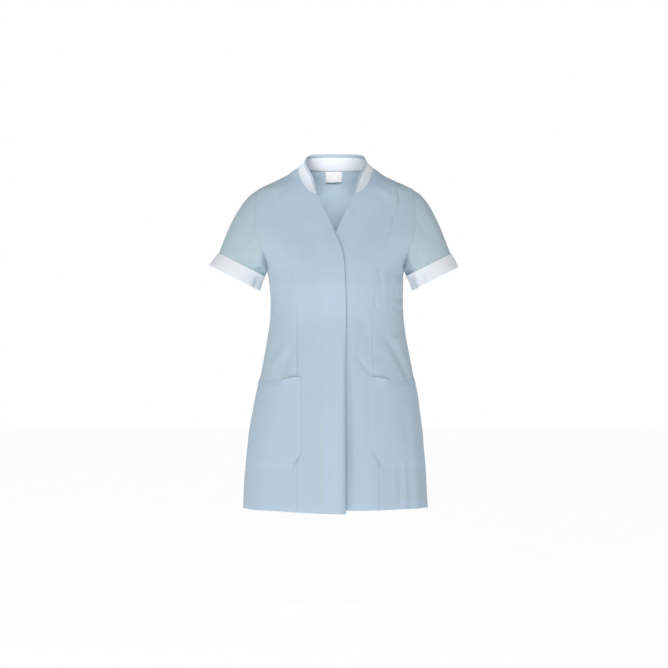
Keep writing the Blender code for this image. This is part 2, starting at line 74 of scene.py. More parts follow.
# Upright folds: angle in degrees, height where each starts, spread in degrees, depth at the hem
FOLDS = [
    (10, -0.42, 5, -0.0045), (22, -0.40, 7, 0.0040), (58, -0.50, 6, 0.0045), (76, -0.44, 8, -0.0030),
    (-34, -0.46, 8, -0.0030), (-52, -0.42, 8, 0.0035), (118, -0.36, 9, 0.0045), (142, -0.36, 9, -0.0045),
    (166, -0.40, 9, 0.0035), (-124, -0.36, 9, 0.0045), (-150, -0.38, 9, -0.0045),
]
# Seams and edges of the fronts, in mm: height, and distance from the centre line
PRINCESS_SEAM = [  # on the wearer's right, and on the left
    (-800, 88, 101), (-700, 88, 98.5), (-580, 88, 93), (-470, 88.2, 88), (-355, 90.5, 84.5), (-310, 92, 87.5),
    (-273, 96.5, 94.5), (-239, 103, 102.5), (-193, 111, 111), (-156, 121, 121), (-120, 133, 133),
    (-90, 142, 142), (-60, 146, 146), (-24.5, 146.5, 146.5),
]
OVERLAP_EDGE = [
    (-800, -23.8), (-500, -23.2), (-250, -21.5), (-205, -18.5), (-180, -13), (-150, 0), (-100, 22.2),
    (-54.5, 43.5),
]
UNDERLAP_EDGE = [(-800, -18), (-250, -18), (-205, -16), (-180, -11.5), (-150, 0), (-100, 22.2), (-54.5, 43.5)]
FRONT_NECK = [(-54.5, 43.5), (-53, 51), (-46.5, 62.5), (-33, 73.5), (-16, 82.5), (-3, 86.2), (10, 88)]

# The collar's upper edge from the centre back: share of its length, across, back and height
COLLAR_EDGE = [
    (0, 0, 0.062, 0.0475), (0.12, 0.029, 0.057, 0.0468), (0.25, 0.052, 0.041, 0.0445),
    (0.38, 0.064, 0.019, 0.04), (0.53, 0.069, -0.004, 0.032), (0.64, 0.0695, -0.0225, 0.0185),
    (0.74, 0.0625, -0.038, 0.003), (0.84, 0.053, -0.053, -0.0155), (0.93, 0.047, -0.064, -0.035),
    (1, 0.0438, -0.0715, -0.05),
]
COLLAR_BULGE = 0.09
BINDING_HEIGHT = 0.0080
BINDING_SHARE = 0.45

# The over front stands off the under front near its edge, from a little right of the centre line
OVERLAP_LIFT = 0.0044
LIFT_STARTS = 0.048
LIFT_FULL = 0.021
LIFT_FADES = -0.100
LIFT_FULL_BELOW = -0.180

ARMHOLE_ANGLE = math.radians(31)
ARMHOLE_ROUNDNESS = 0.7
# Rings of the cuff, in mm: distance across, height, half width, half depth
CUFF_SEAM = {RIGHT: (220.5, -219, 60.4, 52), LEFT: (218.9, -219.8, 58.6, 52)}
CUFF_EDGE = {RIGHT: (236, -250.5, 67.5, 58.5), LEFT: (231.7, -252.7, 62.6, 58.5)}
SLEEVE_LEAN = math.radians(26.8)
CAP_DIRECTION = np.array([0.914, 0.0, -0.406])
END_DIRECTION = np.array([0.37, 0.0, -0.93])
SLEEVE_FULLNESS = 0.77

POCKET_PAST_SEAM = {RIGHT: 0.0130, LEFT: 0.0170}
POCKET_CUT_CORNER = 0.045
POCKET_SAG = 0.011
POCKET_SAG_FROM = 0.1
POCKET_GAPE = 0.0034
POCKET_GAPE_FROM = {RIGHT: 0.000, LEFT: 0.016}
POCKET_GAPE_WIDTH = {RIGHT: 0.072, LEFT: 0.046}
POCKET_GAPE_HELD = 10  # the higher, the closer the gape keeps to the mouth
POCKET_SIDE_MARGIN = 0.0040

# Sizes of the fine form

CLOTH = 0.0008
HEM_DEPTH = 0.018
LAYER_BLUR = 0.0015
FACING_WIDTH = 0.058
FACING_BLUR = 0.007
SEAM_DIP = 0.0007
SEAM_SPREAD = 0.0026
NECK_SEAM_FADE = 0.004
ARMHOLE_DIP = 0.0002
STITCH_DIP = 0.0004
STITCH_SPREAD = 0.0020
# The princess seam's dip, in mm: height, on the right, on the left
PRINCESS_DIPS = [
    (-820, 0.8, 0.8), (-680, 0.8, 0.8), (-620, 0.3, 0.3), (-480, 0.8, 0.5), (-420, 0.9, 0.6),
    (-330, 0.6, 0.5), (-260, 0.3, 0.5), (-180, 0.1, 0.4), (-130, 0.2, 0.9), (-30, 0.3, 1.0),
]

# The tuck under each arm: how deep it is, how far it reaches, and a wider, shallower part round it
TUCK_DEPTH = {RIGHT: 0.0220, LEFT: 0.0260}
TUCK_SPREAD = {RIGHT: 0.0100, LEFT: 0.0150}
TUCK_SPREAD_ON_BODY = 0.0030
TUCK_HEIGHT = 0.048
TUCK_PEAK = 0.5  # below 1 the tuck is deepest in its lower half
TUCK_ROUNDING = 1.5
TUCK_FAR_SHARE = 0.5
TUCK_FAR_SPREAD = 3.2

# The worn body's sides stand a little to the wearer's left, from 75 mm off the centre line on and less on
# the left. In mm: height, and how far
LEAN = [
    (-900, 0), (-720, 0), (-620, 1), (-520, 3.4), (-430, 4.6),
    (-330, 4), (-275, 3.2), (-235, 0.4), (-200, 0), (100, 0),
]
LEAN_FROM = 0.075
LEAN_OVER = 0.065
LEAN_ON_LEFT = 0.6
# How far the hem stands above a level line, at turns in degrees from the centre front
HEM_TURNS = [-10, 10, 25, 45, 70, 90]
HEM_RISES = {
    RIGHT: [-0.0024, -0.0012, 0.0008, 0.0022, 0.0015, 0.0],
    LEFT: [0.0044, 0.0048, 0.0054, 0.0056, 0.0035, 0.0],
}
HEM_LEVEL_ABOVE = -0.62
# Towards the hem the over front's edge hangs loose
LOOSE_EDGE = 0.0040
LOOSE_BELOW = -0.42
LOOSE_OVER = 0.25
LOOSE_FROM = 0.02
LOOSE_WIDTH = 0.042

# Creases pressed or drawn into the body's cloth, in mm: the distance across and the height where each starts
# and ends; its bow as a share of its length; spread; and depth, which is negative in a trough
FRONT_CREASES = [
    # from the waist down to the pockets
    (48, -424, 92, -478, -0.08, 5.2, -2), (70, -420, 112, -468, -0.08, 10, 0.8),
    (104, -374, 178, -514, 0.04, 12, -3.4), (-155, -470, -104, -396, 0.06, 14, 2.4),
    (-124, -482, -98, -400, 0.05, 9.5, -2.4), (-90, -355, -88.5, -482, 0, 3, -1.4),
    # beside the over front, and towards the side of the lower left front
    (27, -340, 28, -980, 0, 5.8, -9.5), (36, -440, 38, -980, 0, 10, -3.5),
    (158, -668, 160, -820, 0, 5.5, 4.6), (147, -668, 148, -800, 0, 5, -1),
    (134, -690, 136, -790, 0.02, 6, 1.4), (150, -540, 166, -640, 0.05, 14, -1.6),
    # under the bust and at the waist
    (-103, -243, -98, -340, 0.02, 6, 1.3), (-119, -248, -117, -318, 0, 4.5, -1.4),
    (98, -215, 108, -290, 0.04, 5.5, -1.4), (118, -240, 116, -330, -0.04, 7, 1.4),
    (158, -285, 134, -294, 0.1, 7, -1.6), (158, -312, 136, -322, 0.1, 7, -1.4),
    (87, -306, 101, -334, 0.05, 4, -1.6), (101, -316, 89, -352, 0.05, 4.5, 1.3),
    (157, -350, 118, -378, 0.1, 8, -1.8), (-156, -330, -128, -345, 0.1, 6, -1),
    (50, -330, 75, -400, 0.05, 10, -1.4), (-55, -345, -74, -420, 0.05, 10, -1),
    # from the armholes
    (-156, -214, -124, -176, 0.1, 6.5, -0.8), (158, -245, 118, -238, 0.05, 8, -0.8),
    # across the shoulders, and where the left princess seam puckers
    (86, -34, 138, -72, 0.06, 9, 0.8), (82, -50, 132, -94, 0.06, 10, -0.6),
    (136.5, -44, 133.5, -104, 0.03, 4.8, 2.2), (132.5, -106, 120, -158, 0.08, 3.2, -1.8),
    (125, -112, 113, -150, 0.06, 4.5, 1), (23, -78, 34, -112, 0.03, 5.5, 1.8),
    (-88, -34, -152, -80, -0.08, 9, -0.8), (-52, -75, -70, -150, 0.06, 12, 1),
]
BACK_CREASES = [
    (155, -300, 60, -335, 0.1, 7.5, -3), (150, -335, 40, -352, -0.08, 8.5, 2.2),
    (150, -372, 70, -378, 0.08, 7.5, -2.6), (-155, -310, -50, -345, -0.1, 8, -3),
    (-150, -350, -70, -366, 0.08, 8.5, 2), (-148, -385, -80, -395, -0.08, 7.5, -2.4),
    (160, -220, 95, -150, -0.12, 8, -3), (168, -195, 120, -120, -0.12, 8, 2.2),
    (-162, -222, -100, -160, 0.12, 8, -2.8), (-168, -190, -126, -115, 0.12, 8, 2.2),
    (60, -400, 85, -560, 0.05, 11, -2.2), (-40, -410, -60, -600, -0.05, 12, -2.2),
    (10, -60, 60, -110, 0.08, 12, -1.4), (-18, -50, -72, -92, -0.08, 10, -1.4),
    (-34, -100, -88, -192, 0.1, 12, 1.8), (104, -392, 166, -528, 0.05, 12, -3.2),
    (92, -400, 128, -500, 0.05, 11, 1.8), (-100, -402, -158, -545, -0.05, 13, -3.4),
    (72, -590, 80, -980, 0.02, 14, -3.2), (22, -620, 20, -980, 0, 15, 2.6),
    (-92, -560, -104, -980, 0.02, 13, -3.6), (-154, -650, -157, -980, 0, 6, 3.8),
    (150, -600, 156, -980, 0.02, 10, -2.2),
]
# Creases of the sleeves: where each starts and ends, as a turn in degrees from the underarm (0) over the
# front (90, or -90 behind) to the top (180) and a share of the way from the armhole to the cuff; bow; then in
# mm its spread and depth
SLEEVE_CREASES = {
    RIGHT: [
        (24, 0.2, 58, 1, 0.06, 6, -3), (74, -0.05, 84, 0.5, 0.08, 4.5, -1.8),
        (84, 0.1, 96, 0.8, 0.08, 9, 1.6), (118, 0.15, 142, 0.85, 0.06, 11, 1),
        (-24, 0.2, -50, 1, 0.06, 10, -5), (-66, 0, -96, 0.9, 0.08, 9.5, 2.6),
        (-104, 0.05, -120, 0.7, 0.08, 8, -1.4),
    ],
    LEFT: [
        (16, 0.3, 26, 1.2, 0.06, 18, -5), (50, 0, 70, 0.95, 0.08, 10, 4.6),
        (104, 0, 116, 0.6, 0.06, 7, -1.4), (130, 0.05, 150, 0.7, 0.06, 11, 1),
        (-18, 0.2, -42, 1, 0.06, 11, -6), (-60, 0, -92, 0.9, 0.08, 10, 3),
        (-100, 0.05, -118, 0.7, 0.08, 8, -1.4),
    ],
}
SLEEVE_RADIUS = 0.056
SLEEVE_LENGTH = 0.11
CREASE_FADE = 0.8  # below 1 a crease keeps its depth nearer to its ends
CREASE_FLANKS = 0.18  # how far the cloth rises beside a trough, as a share of its depth
CREASE_IN_HEM = 0.6  # what the doubled hem keeps of a crease
CREASES_END = 0.02  # creases fade out over the last 40 mm up to this height
CREASES_FADE_OVER = 0.04

# Slight unevenness everywhere: size of its waves and height
UNEVEN = [(0.070, 0.0012), (0.026, 0.0004)]

# Rows and columns of the cloth's points
BODY_ROWS = 190
ARMHOLE_ROWS = 78
V_ROWS = 45
BACK_NECK_ROWS = 45
PANEL_STEP = 0.0045
EDGE_STEPS = np.array([0.0, 0.0008, 0.0018, 0.0032, 0.0050, 0.0075])
FRONT_WIDTH = 0.11
SIDE_FRONT_WIDTH = 0.13
HALF_BACK_WIDTH = 0.27
METRES_PER_RADIAN = 0.16

# Curves and the worn form


def in_metres(rows, others=0):
    """A table in millimetres as metres. Its last columns, as many as others says, hold no lengths."""
    table = np.array(rows, float)
    table[:, : table.shape[1] - others] /= 1000
    return table


def smooth_curve(knots, values):
    """A smooth curve through the values, numbers or points, at rising knots. It takes arrays of places."""
    slopes = np.gradient(values, knots, axis=0)

    def at(place):
        place = np.asarray(place, float)
        i = np.clip(np.searchsorted(knots, place) - 1, 0, len(knots) - 2)
        step = knots[i + 1] - knots[i]
        t = (place - knots[i]) / step
        if values.ndim > 1:
            t, step = t[..., None], step[..., None]
        from_start = (1 + 2 * t) * (1 - t) ** 2 * values[i] + t * (1 - t) ** 2 * step * slopes[i]
        to_end = t * t * (3 - 2 * t) * values[i + 1] + t * t * (t - 1) * step * slopes[i + 1]
        return from_start + to_end

    return at


def table_curve(table):
    """A curve over the first column of a table that gives its other columns."""
    return smooth_curve(table[:, 0], table[:, 1:] if table.shape[1] > 2 else table[:, 1])


section_at = table_curve(in_metres(BODY_SECTIONS, others=1))
princess_at = table_curve(in_metres(PRINCESS_SEAM))  # gives both sides
overlap_at = table_curve(in_metres(OVERLAP_EDGE))
underlap_at = table_curve(in_metres(UNDERLAP_EDGE))
lean_at = table_curve(in_metres(LEAN))
collar_edge_at = table_curve(np.array(COLLAR_EDGE))


def ease(share):
    share = np.clip(share, 0.0, 1.0)
    return share * share * (3 - 2 * share)


def bell(distance, spread):
    """1 where the distance is nothing, and soon nothing beyond the spread."""
    return np.exp(-((distance / spread) ** 2))


def unit(vectors):
    return vectors / np.maximum(np.linalg.norm(vectors, axis=-1, keepdims=True), 1e-12)


def steps(points, axis=0):
    """Lengths of the steps between points along a line, or along one axis of a grid."""
    return np.linalg.norm(np.diff(points, axis=axis), axis=-1)


def run(points, axis=0):
    """How far each point lies from the first one along a line, or along one axis of a grid."""
    lengths = steps(points, axis)
    return np.concatenate([0 * lengths.take([0], axis), lengths.cumsum(axis)], axis)


def turn_from(angle, degrees):
    """How many degrees an angle is past a turn, the short way round."""
    return (np.degrees(angle) - degrees + 180) % 360 - 180


def fold_depth(angle, height):
    total = np.zeros(np.broadcast(angle, height).shape)
    for at, top, spread, depth in FOLDS:
        total += depth * ease((top - height) / (top - HEM)) * bell(turn_from(angle, at), spread)
    return total


def body(angle, height):
    """The worn form without its fine creases."""
    angle, height = np.broadcast_arrays(angle, height)
    width, front, back, squareness = np.moveaxis(section_at(height), -1, 0)
    power = 2 / squareness
    sine, cosine = np.sin(angle), np.cos(angle)
    depth = np.where(cosine > 0, front, back)
    swell = 1 + fold_depth(angle, height) / width
    x = swell * width * np.sign(sine) * np.abs(sine) ** power
    y = -swell * depth * np.sign(cosine) * np.abs(cosine) ** power
    return np.stack([x, y, height], -1)


def body_normal(angle, height):
    step = 1e-3
    round_it = body(angle + step, height) - body(angle - step, height)
    up_it = body(angle, height + step) - body(angle, height - step)
    return unit(np.cross(round_it, up_it))


def angle_at(across, height):
    """The angle at which the front lies this far from the centre line."""
    width, _, _, squareness = np.moveaxis(section_at(height), -1, 0)
    share = np.minimum(np.abs(across) / width, 1.0)
    return np.copysign(np.arcsin(share ** (squareness / 2)), across)


def crease_depth(creases, right, up):
    """How far creases, as (start, end, bow, spread, depth), push the cloth out at places in a flat chart."""
    total = np.zeros(right.shape)
    for (ax, ay), (bx, by), bow, spread, depth in creases:
        length = math.hypot(bx - ax, by - ay)
        dx, dy = (bx - ax) / length, (by - ay) / length
        inside = np.clip(((right - ax) * dx + (up - ay) * dy) / length, 0, 1)
        across = (up - ay) * dx - (right - ax) * dy - bow * length * 4 * inside * (1 - inside)
        flanks = bell(np.abs(across) / spread - 2, 1)
        fades = np.sin(HALF_TURN * inside) ** CREASE_FADE
        total += depth * fades * (bell(across, spread) - CREASE_FLANKS * flanks)
    return total


def body_creases():
    """The body's creases on its flat chart, whose middle is the centre front."""
    listed = []
    for rows, behind in ((FRONT_CREASES, False), (BACK_CREASES, True)):
        for ax, az, bx, bz, bow, spread, depth in rows:
            ends = []
            for across, height in ((ax / 1000, az / 1000), (bx / 1000, bz / 1000)):
                turn = float(angle_at(across, height))
                turn = math.copysign(HALF_TURN, turn) - turn if behind else turn
                ends.append((turn * METRES_PER_RADIAN, height))
            listed.append((*ends, bow, spread / 1000, depth / 1000))
    return listed


CHARTED_CREASES = body_creases()


def unevenness(points):
    """Slight waves, by the place in space, so that neighbouring pieces agree."""
    flat = points.reshape(-1, 3)
    total = np.zeros(len(flat))
    for size, height in UNEVEN:
        total += [height * noise.noise(Vector(point) / size) for point in flat]
    return total.reshape(points.shape[:-1])


def relief(angle, height, points):
    wrapped = (angle + HALF_TURN) % (2 * HALF_TURN) - HALF_TURN
    depth = crease_depth(CHARTED_CREASES, wrapped * METRES_PER_RADIAN, height)
    kept = CREASE_IN_HEM + (1 - CREASE_IN_HEM) * ease((height - HEM) / HEM_DEPTH)
    calm = ease((CREASES_END - height) / CREASES_FADE_OVER)
    stitched = bell(height - HEM - HEM_DEPTH, STITCH_SPREAD)
    return (depth * kept + unevenness(points)) * calm - STITCH_DIP * stitched


def lean(points, height):
    x = points[..., 0]
    return lean_at(height) * ease((np.abs(x) - LEAN_FROM) / LEAN_OVER) * np.where(x > 0, LEAN_ON_LEFT, 1.0)


def hem_rise(side, turn, height):
    """How far the lower rows stand above or below a level hem."""
    rises = np.interp(np.degrees(turn), HEM_TURNS, HEM_RISES[side])
    return rises * ease((HEM_LEVEL_ABOVE - height) / (HEM_LEVEL_ABOVE - HEM))


def worn(side, turn, height):
    """Points and normals of the creased cloth, where turn is the angle from the centre front on this side."""
    turn, height = np.broadcast_arrays(np.asarray(turn, float), np.asarray(height, float))
    angle = side * turn
    points = body(angle, height)
    normals = body_normal(angle, height)
    points = points + normals * relief(angle, height, points)[..., None]
    points[..., 0] += lean(points, height)
    points[..., 2] += hem_rise(side, turn, height)
    return points, normals


def overlap_lift(points):
    """How far the over front stands off the one below it."""
    x, z = points[..., 0], points[..., 2]
    towards_edge = ease((x + LIFT_STARTS) / (LIFT_STARTS - LIFT_FULL))
    below_neck = ease((LIFT_FADES - z) / (LIFT_FADES - LIFT_FULL_BELOW))
    loose = LOOSE_EDGE * ease((LOOSE_BELOW - z) / LOOSE_OVER) * ease((x + LOOSE_FROM) / LOOSE_WIDTH)
    return (OVERLAP_LIFT + loose) * towards_edge * below_neck


# Edges of the panels, as rows of angles and heights from the hem up

BELOW_ARMS = np.linspace(HEM, UNDERARM, BODY_ROWS + 1)[:-1]


def armhole(direction):
    turn = HALF_TURN * np.arange(ARMHOLE_ROWS + 1) / ARMHOLE_ROWS
    middle, reach = (SHOULDER_TIP + UNDERARM) / 2, (SHOULDER_TIP - UNDERARM) / 2
    opening = ARMHOLE_ANGLE * np.maximum(np.sin(turn), 0) ** ARMHOLE_ROUNDNESS
    return SIDE_SEAM + direction * opening, middle - reach * np.cos(turn)


def side_edge(direction):
    angles, heights = armhole(direction)
    return np.append(0 * BELOW_ARMS + SIDE_SEAM, angles), np.append(BELOW_ARMS, heights)


def princess_across(side, height):
    return princess_at(height)[..., 0 if side == RIGHT else 1]


def princess_edge(side):
    _, armhole_heights = armhole(-1)
    stretch = (PRINCESS_TOP - UNDERARM) / (SHOULDER_TIP - UNDERARM)
    heights = np.append(BELOW_ARMS, UNDERARM + (armhole_heights - UNDERARM) * stretch)
    angles = angle_at(princess_across(side, heights), heights)
    angles[-1] = SIDE_SEAM
    return angles, heights


def front_neck(count):
    """The collar seam from its front tip to the shoulder, at even steps."""
    line = in_metres(FRONT_NECK)
    along = run(line)
    heights, across = smooth_curve(along, line)(np.linspace(0, along[-1], count + 1)).T
    angles = angle_at(across, heights)
    angles[-1], heights[-1] = SIDE_SEAM, NECK_POINT
    return angles, heights


def front_edge(across_at):
    heights = np.append(BELOW_ARMS, np.linspace(UNDERARM, COLLAR_TIP, V_ROWS + 1))
    angles = angle_at(across_at(heights), heights)
    neck_angles, neck_heights = front_neck(ARMHOLE_ROWS - V_ROWS)
    return np.append(angles, neck_angles[1:]), np.append(heights, neck_heights[1:])


def back_neck(count):
    share = np.linspace(0, 1, count + 1)
    return HALF_TURN + share * (SIDE_SEAM - HALF_TURN), BACK_NECK + share * (NECK_POINT - BACK_NECK)


def back_middle():
    up = np.linspace(UNDERARM, BACK_NECK, ARMHOLE_ROWS - BACK_NECK_ROWS + 1)
    heights = np.append(BELOW_ARMS, up)
    neck_angles, neck_heights = back_neck(BACK_NECK_ROWS)
    angles = np.append(np.full(len(heights), HALF_TURN), neck_angles[1:])
    return angles, np.append(heights, neck_heights[1:])


def shares_across(width):
    """Columns over a panel this wide, close together at both edges."""
    middle = np.linspace(0, 1, max(int((width - 2 * EDGE_STEPS[-1]) / PANEL_STEP), 2) + 1)
    near = EDGE_STEPS / width
    return np.concatenate([near[:-1], near[-1] + middle * (1 - 2 * near[-1]), 1 - near[:-1][::-1]])


def between(first, last, shares):
    """Angles and heights of the points between two edges."""
    return [a[:, None] + shares[None] * (b - a)[:, None] for a, b in zip(first, last)]


# Making pieces


def sheet_mesh(points, closed=False, outward=1):
    """A grid of cloth through rows and columns of points, with its pattern coordinates in metres.

    outward is negative where the grid's own faces would look inwards.
    """
    rows, columns = points.shape[0] - 1, points.shape[1] - 1
    mesh = bmesh.new()
    bmesh.ops.create_grid(mesh, x_segments=columns, y_segments=rows, size=0.5)
    across, up = run(points, 1), run(points)
    across -= across[:, columns // 2][:, None]
    places = [(round((v.co.y + 0.5) * rows), round((v.co.x + 0.5) * columns)) for v in mesh.verts]
    uv = mesh.loops.layers.uv.new("pattern")
    for face in mesh.faces:
        face.smooth = True
        for loop in face.loops:
            place = places[loop.vert.index]
            loop[uv].uv = (across[place], up[place])
    for vertex, place in zip(mesh.verts, places):
        vertex.co = points[place]
    if closed:
        bmesh.ops.remove_doubles(mesh, verts=mesh.verts, dist=1e-5)
    if outward < 0:
        bmesh.ops.reverse_faces(mesh, faces=mesh.faces)
    return mesh, places


def give_layers(mesh, places, layers):
    """Where the cloth lies double, as an attribute for its finish and as a weight for its wall.

    On the collar and its binding it also carries painted shade: their outer face towards the front is given
    as single, so that it takes the darker single-layer tone.
    """
    attribute = mesh.verts.layers.float.new("layers")
    weight = mesh.verts.layers.deform.verify()
    for vertex, place in zip(mesh.verts, places):
        vertex[attribute] = layers[place]
        vertex[weight][0] = 0.5 + 0.5 * layers[place]


def add_object(name, data):
    made = bpy.data.objects.new(name, data)
    bpy.context.scene.collection.objects.link(made)
    return made


def finish_mesh(name, mesh, material):
    data = bpy.data.meshes.new(name)
    mesh.to_mesh(data)
    mesh.free()
    data.materials.append(material)
    return add_object(name, data)


def finish_piece(name, mesh, material, *nodes):
    piece = finish_mesh(f"{name}_cloth", mesh, material)
    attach(piece, "root")
    if nodes:
        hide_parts(*nodes)
    return piece


def give_wall(piece, thickness):
    """The cloth's thickness, laid inwards."""
    wall = piece.modifiers.new("thickness", "SOLIDIFY")
    wall.thickness, wall.offset = thickness, -1
    return wall


def soften(piece):
    smooth = piece.modifiers.new("soft folds", "SUBSURF")
    smooth.levels = smooth.render_levels = 1


def seam_dip(distance, depth=SEAM_DIP):
    return depth * bell(distance, SEAM_SPREAD)


def neck_seam(distance, height):
    return seam_dip(distance) * ease((height - COLLAR_TIP + NECK_SEAM_FADE) / (2 * NECK_SEAM_FADE))


def princess_seam(side):
    """The princess seam's dip on this side. It is pressed flat over the bust."""
    heights, *dips = in_metres(PRINCESS_DIPS).T
    depths = dips[0 if side == RIGHT else 1]
    return lambda distance, height: seam_dip(distance, np.interp(height, heights, depths))


def armhole_seam(distance, height):
    """The side seam, and the armhole seam above it."""
    return seam_dip(distance, np.where(height > UNDERARM, ARMHOLE_DIP, SEAM_DIP))


def tuck(side, distance, height, spread):
    """How far the hanging sleeve draws the cloth in, low on the armhole."""
    share = np.clip((height - UNDERARM) / TUCK_HEIGHT, 0, 1)
    near, far = bell(distance, spread), bell(distance, TUCK_FAR_SPREAD * spread)
    reach = near + TUCK_FAR_SHARE * (far - near)
    return TUCK_DEPTH[side] * np.sin(HALF_TURN * share**TUCK_PEAK) ** TUCK_ROUNDING * reach


def panel_points(first, last, side, width, first_seam=None, last_seam=None, lift=None, tuck_at=None):
    """Points of a panel and their heights. Its top is sewn, and its sides dip as their seams say.

    tuck_at says whether its armhole is the "first" or the "last" side.
    """
    turns, heights = between(first, last, shares_across(width))
    points, normals = worn(side, turns, heights)
    from_first, from_bottom = run(points, 1), run(points)
    from_last = from_first[:, -1:] - from_first
    out = -seam_dip(from_bottom[-1] - from_bottom)
    if first_seam:
        out -= first_seam(from_first, heights[:, :1])
    if last_seam:
        out -= last_seam(from_last, heights[:, -1:])
    if lift:
        out += lift(points)
    if tuck_at == "first":
        points[..., 1] -= tuck(side, from_first, heights[:, :1], TUCK_SPREAD_ON_BODY)
    if tuck_at == "last":
        points[..., 1] += tuck(side, from_last, heights[:, -1:], TUCK_SPREAD_ON_BODY)
    return points + normals * out[..., None], heights


def hem_layers(heights):
    return ease((HEM + HEM_DEPTH + LAYER_BLUR - heights) / (2 * LAYER_BLUR))


def facing_layers(points, heights):
    in_facing = ease((FACING_WIDTH + FACING_BLUR - run(points, 1)) / (2 * FACING_BLUR))
    return np.maximum(hem_layers(heights), in_facing)


def layered_piece(name, mesh):
    """A piece of blue cloth with one or two layers, after the weights that give_layers set."""
    piece = finish_piece(name, mesh, blue_cloth, name)
    piece.vertex_groups.new(name="layers")
    give_wall(piece, 2 * CLOTH).vertex_group = "layers"
    return piece


def make_panel(name, points, side, layers):
    mesh, places = sheet_mesh(points, outward=side)
    give_layers(mesh, places, layers)
    layered_piece(name, mesh)


# Materials

CLOTH_FINISH = {"Sheen Weight": 0.05, "Sheen Roughness": 0.45, "Specular IOR Level": 0.3}
SLUB_WIDTH = 0.0022
SLUB_LENGTH = 0.030
SLUB_TONE = 0.35
CLOUD_SIZE = 0.07
CLOUD_TONE = 0.5
LEAST_TONE = -0.10
WEAVE_TO_SLUB = 0.6
WEAVE_STRENGTH = 0.5


def linear(hex_colour):
    """An sRGB hex colour as linear red, green, blue and alpha."""
    parts = [int(hex_colour[i : i + 2], 16) / 255 for i in (1, 3, 5)]
    return (*[c / 12.92 if c <= 0.04045 else ((c + 0.055) / 1.055) ** 2.4 for c in parts], 1.0)


def add_node(tree, kind, settings=(), inputs=(), output=0):
    """Adds a node and gives one of its outputs. Settings are its properties; inputs are values or sockets."""
    node = tree.nodes.new(kind)
    for name, value in dict(settings).items():
        setattr(node, name, value)
    for name, value in dict(inputs).items():
        if isinstance(value, bpy.types.NodeSocket):
            tree.links.new(value, node.inputs[name])
        else:
            node.inputs[name].default_value = value
    return node.outputs[output]


def new_material(name, roughness, settings=()):
    """An opaque material with its tree and shader, whose uniform values stand on the shader itself."""
    material = bpy.data.materials.new(name)
    material.use_nodes = True
    shader = material.node_tree.nodes["Principled BSDF"]
    shader.inputs["Roughness"].default_value = roughness
    for socket, value in dict(settings).items():
        shader.inputs[socket].default_value = value
    return material, material.node_tree, shader


def woven_cloth(name, colour, shaded, doubled, thread, weave_depth, roughness):
    """Plain-woven cloth. Its threads cross at right angles along the piece's own pattern coordinates."""
    material, tree, shader = new_material(name, roughness, CLOTH_FINISH)
    pattern = add_node(tree, "ShaderNodeUVMap", {"uv_map": "pattern"})
    places = add_node(tree, "ShaderNodeTexCoord", output="Object")

    # Warp and weft: two sets of round threads that take turns on top
    times = {"operation": "MULTIPLY"}
    threads = []
    for axis in ("X", "Y"):
        along = add_node(tree, "ShaderNodeSeparateXYZ", inputs={0: pattern}, output=axis)
        turns = add_node(tree, "ShaderNodeMath", times, {0: along, 1: math.pi / thread})
        threads.append(add_node(tree, "ShaderNodeMath", {"operation": "SINE"}, {0: turns}))
    weave = add_node(tree, "ShaderNodeMath", times, {0: threads[0], 1: threads[1]})

    # A thread runs thick for some 30 mm here and there, which leaves faint streaks along warp and weft
    streaks = []
    for width, length in ((SLUB_WIDTH, SLUB_LENGTH), (SLUB_LENGTH, SLUB_WIDTH)):
        stretch = {"Vector": pattern, "Scale": (1 / width, 1 / length, 1)}
        scaled = add_node(tree, "ShaderNodeMapping", inputs=stretch)
        noisy = {"Vector": scaled, "Scale": 1.0, "Detail": 2.0}
        streaks.append(add_node(tree, "ShaderNodeTexNoise", inputs=noisy))
    slub = add_node(tree, "ShaderNodeMath", {"operation": "ADD"}, {0: streaks[0], 1: streaks[1]})

    # The dye takes a little unevenly over some 70 mm
    clouds = {"Vector": places, "Scale": 1 / CLOUD_SIZE, "Detail": 3.0}
    cloudy = add_node(tree, "ShaderNodeTexNoise", inputs=clouds)
    scale_and_add = {"operation": "MULTIPLY_ADD"}
    tone = add_node(tree, "ShaderNodeMath", scale_and_add, {0: slub, 1: SLUB_TONE, 2: LEAST_TONE})
    tone = add_node(tree, "ShaderNodeMath", scale_and_add, {0: cloudy, 1: CLOUD_TONE, 2: tone})
    colours = {0: tone, 6: linear(shaded), 7: linear(colour)}
    single = add_node(tree, "ShaderNodeMix", {"data_type": "RGBA"}, colours, 2)

    # Where the cloth lies double the inside shows through it less, and it looks a shade clearer
    # On the outer front of the collar and its binding the darker single tone is painted shade
    layers = add_node(tree, "ShaderNodeAttribute", {"attribute_name": "layers"}, output="Fac")
    colours = {0: layers, 6: single, 7: linear(doubled)}
    base = add_node(tree, "ShaderNodeMix", {"data_type": "RGBA"}, colours, 2)
    tree.links.new(base, shader.inputs["Base Color"])

    height = add_node(tree, "ShaderNodeMath", scale_and_add, {0: weave, 1: WEAVE_TO_SLUB, 2: slub})
    bumps = {"Strength": WEAVE_STRENGTH, "Distance": weave_depth, "Height": height}
    tree.links.new(add_node(tree, "ShaderNodeBump", inputs=bumps), shader.inputs["Normal"])
    return material


# Light blue plain-woven poly-cotton. Its threads are 0.35 mm apart, and are drawn at 0.7 mm because finer
# ones would not show: matt, with faint streaks where a thread runs thick.
blue_cloth = woven_cloth("light_blue_poly_cotton", "#B8CBD2", "#AEC2CA", "#B5CADC", 0.0007, 0.00012, 0.85)
# White plain-woven poly-cotton of the collar and cuffs: the same weave, bleached and brightened to a cool
# white, and a little smoother than the dyed one.
# Its darker single-layer tones show only on the collar's outer front, where they are painted shade.
white_cloth = woven_cloth("white_poly_cotton", "#DDE5EC", "#D6DFE8", "#E8EDF4", 0.0007, 0.00010, 0.8)
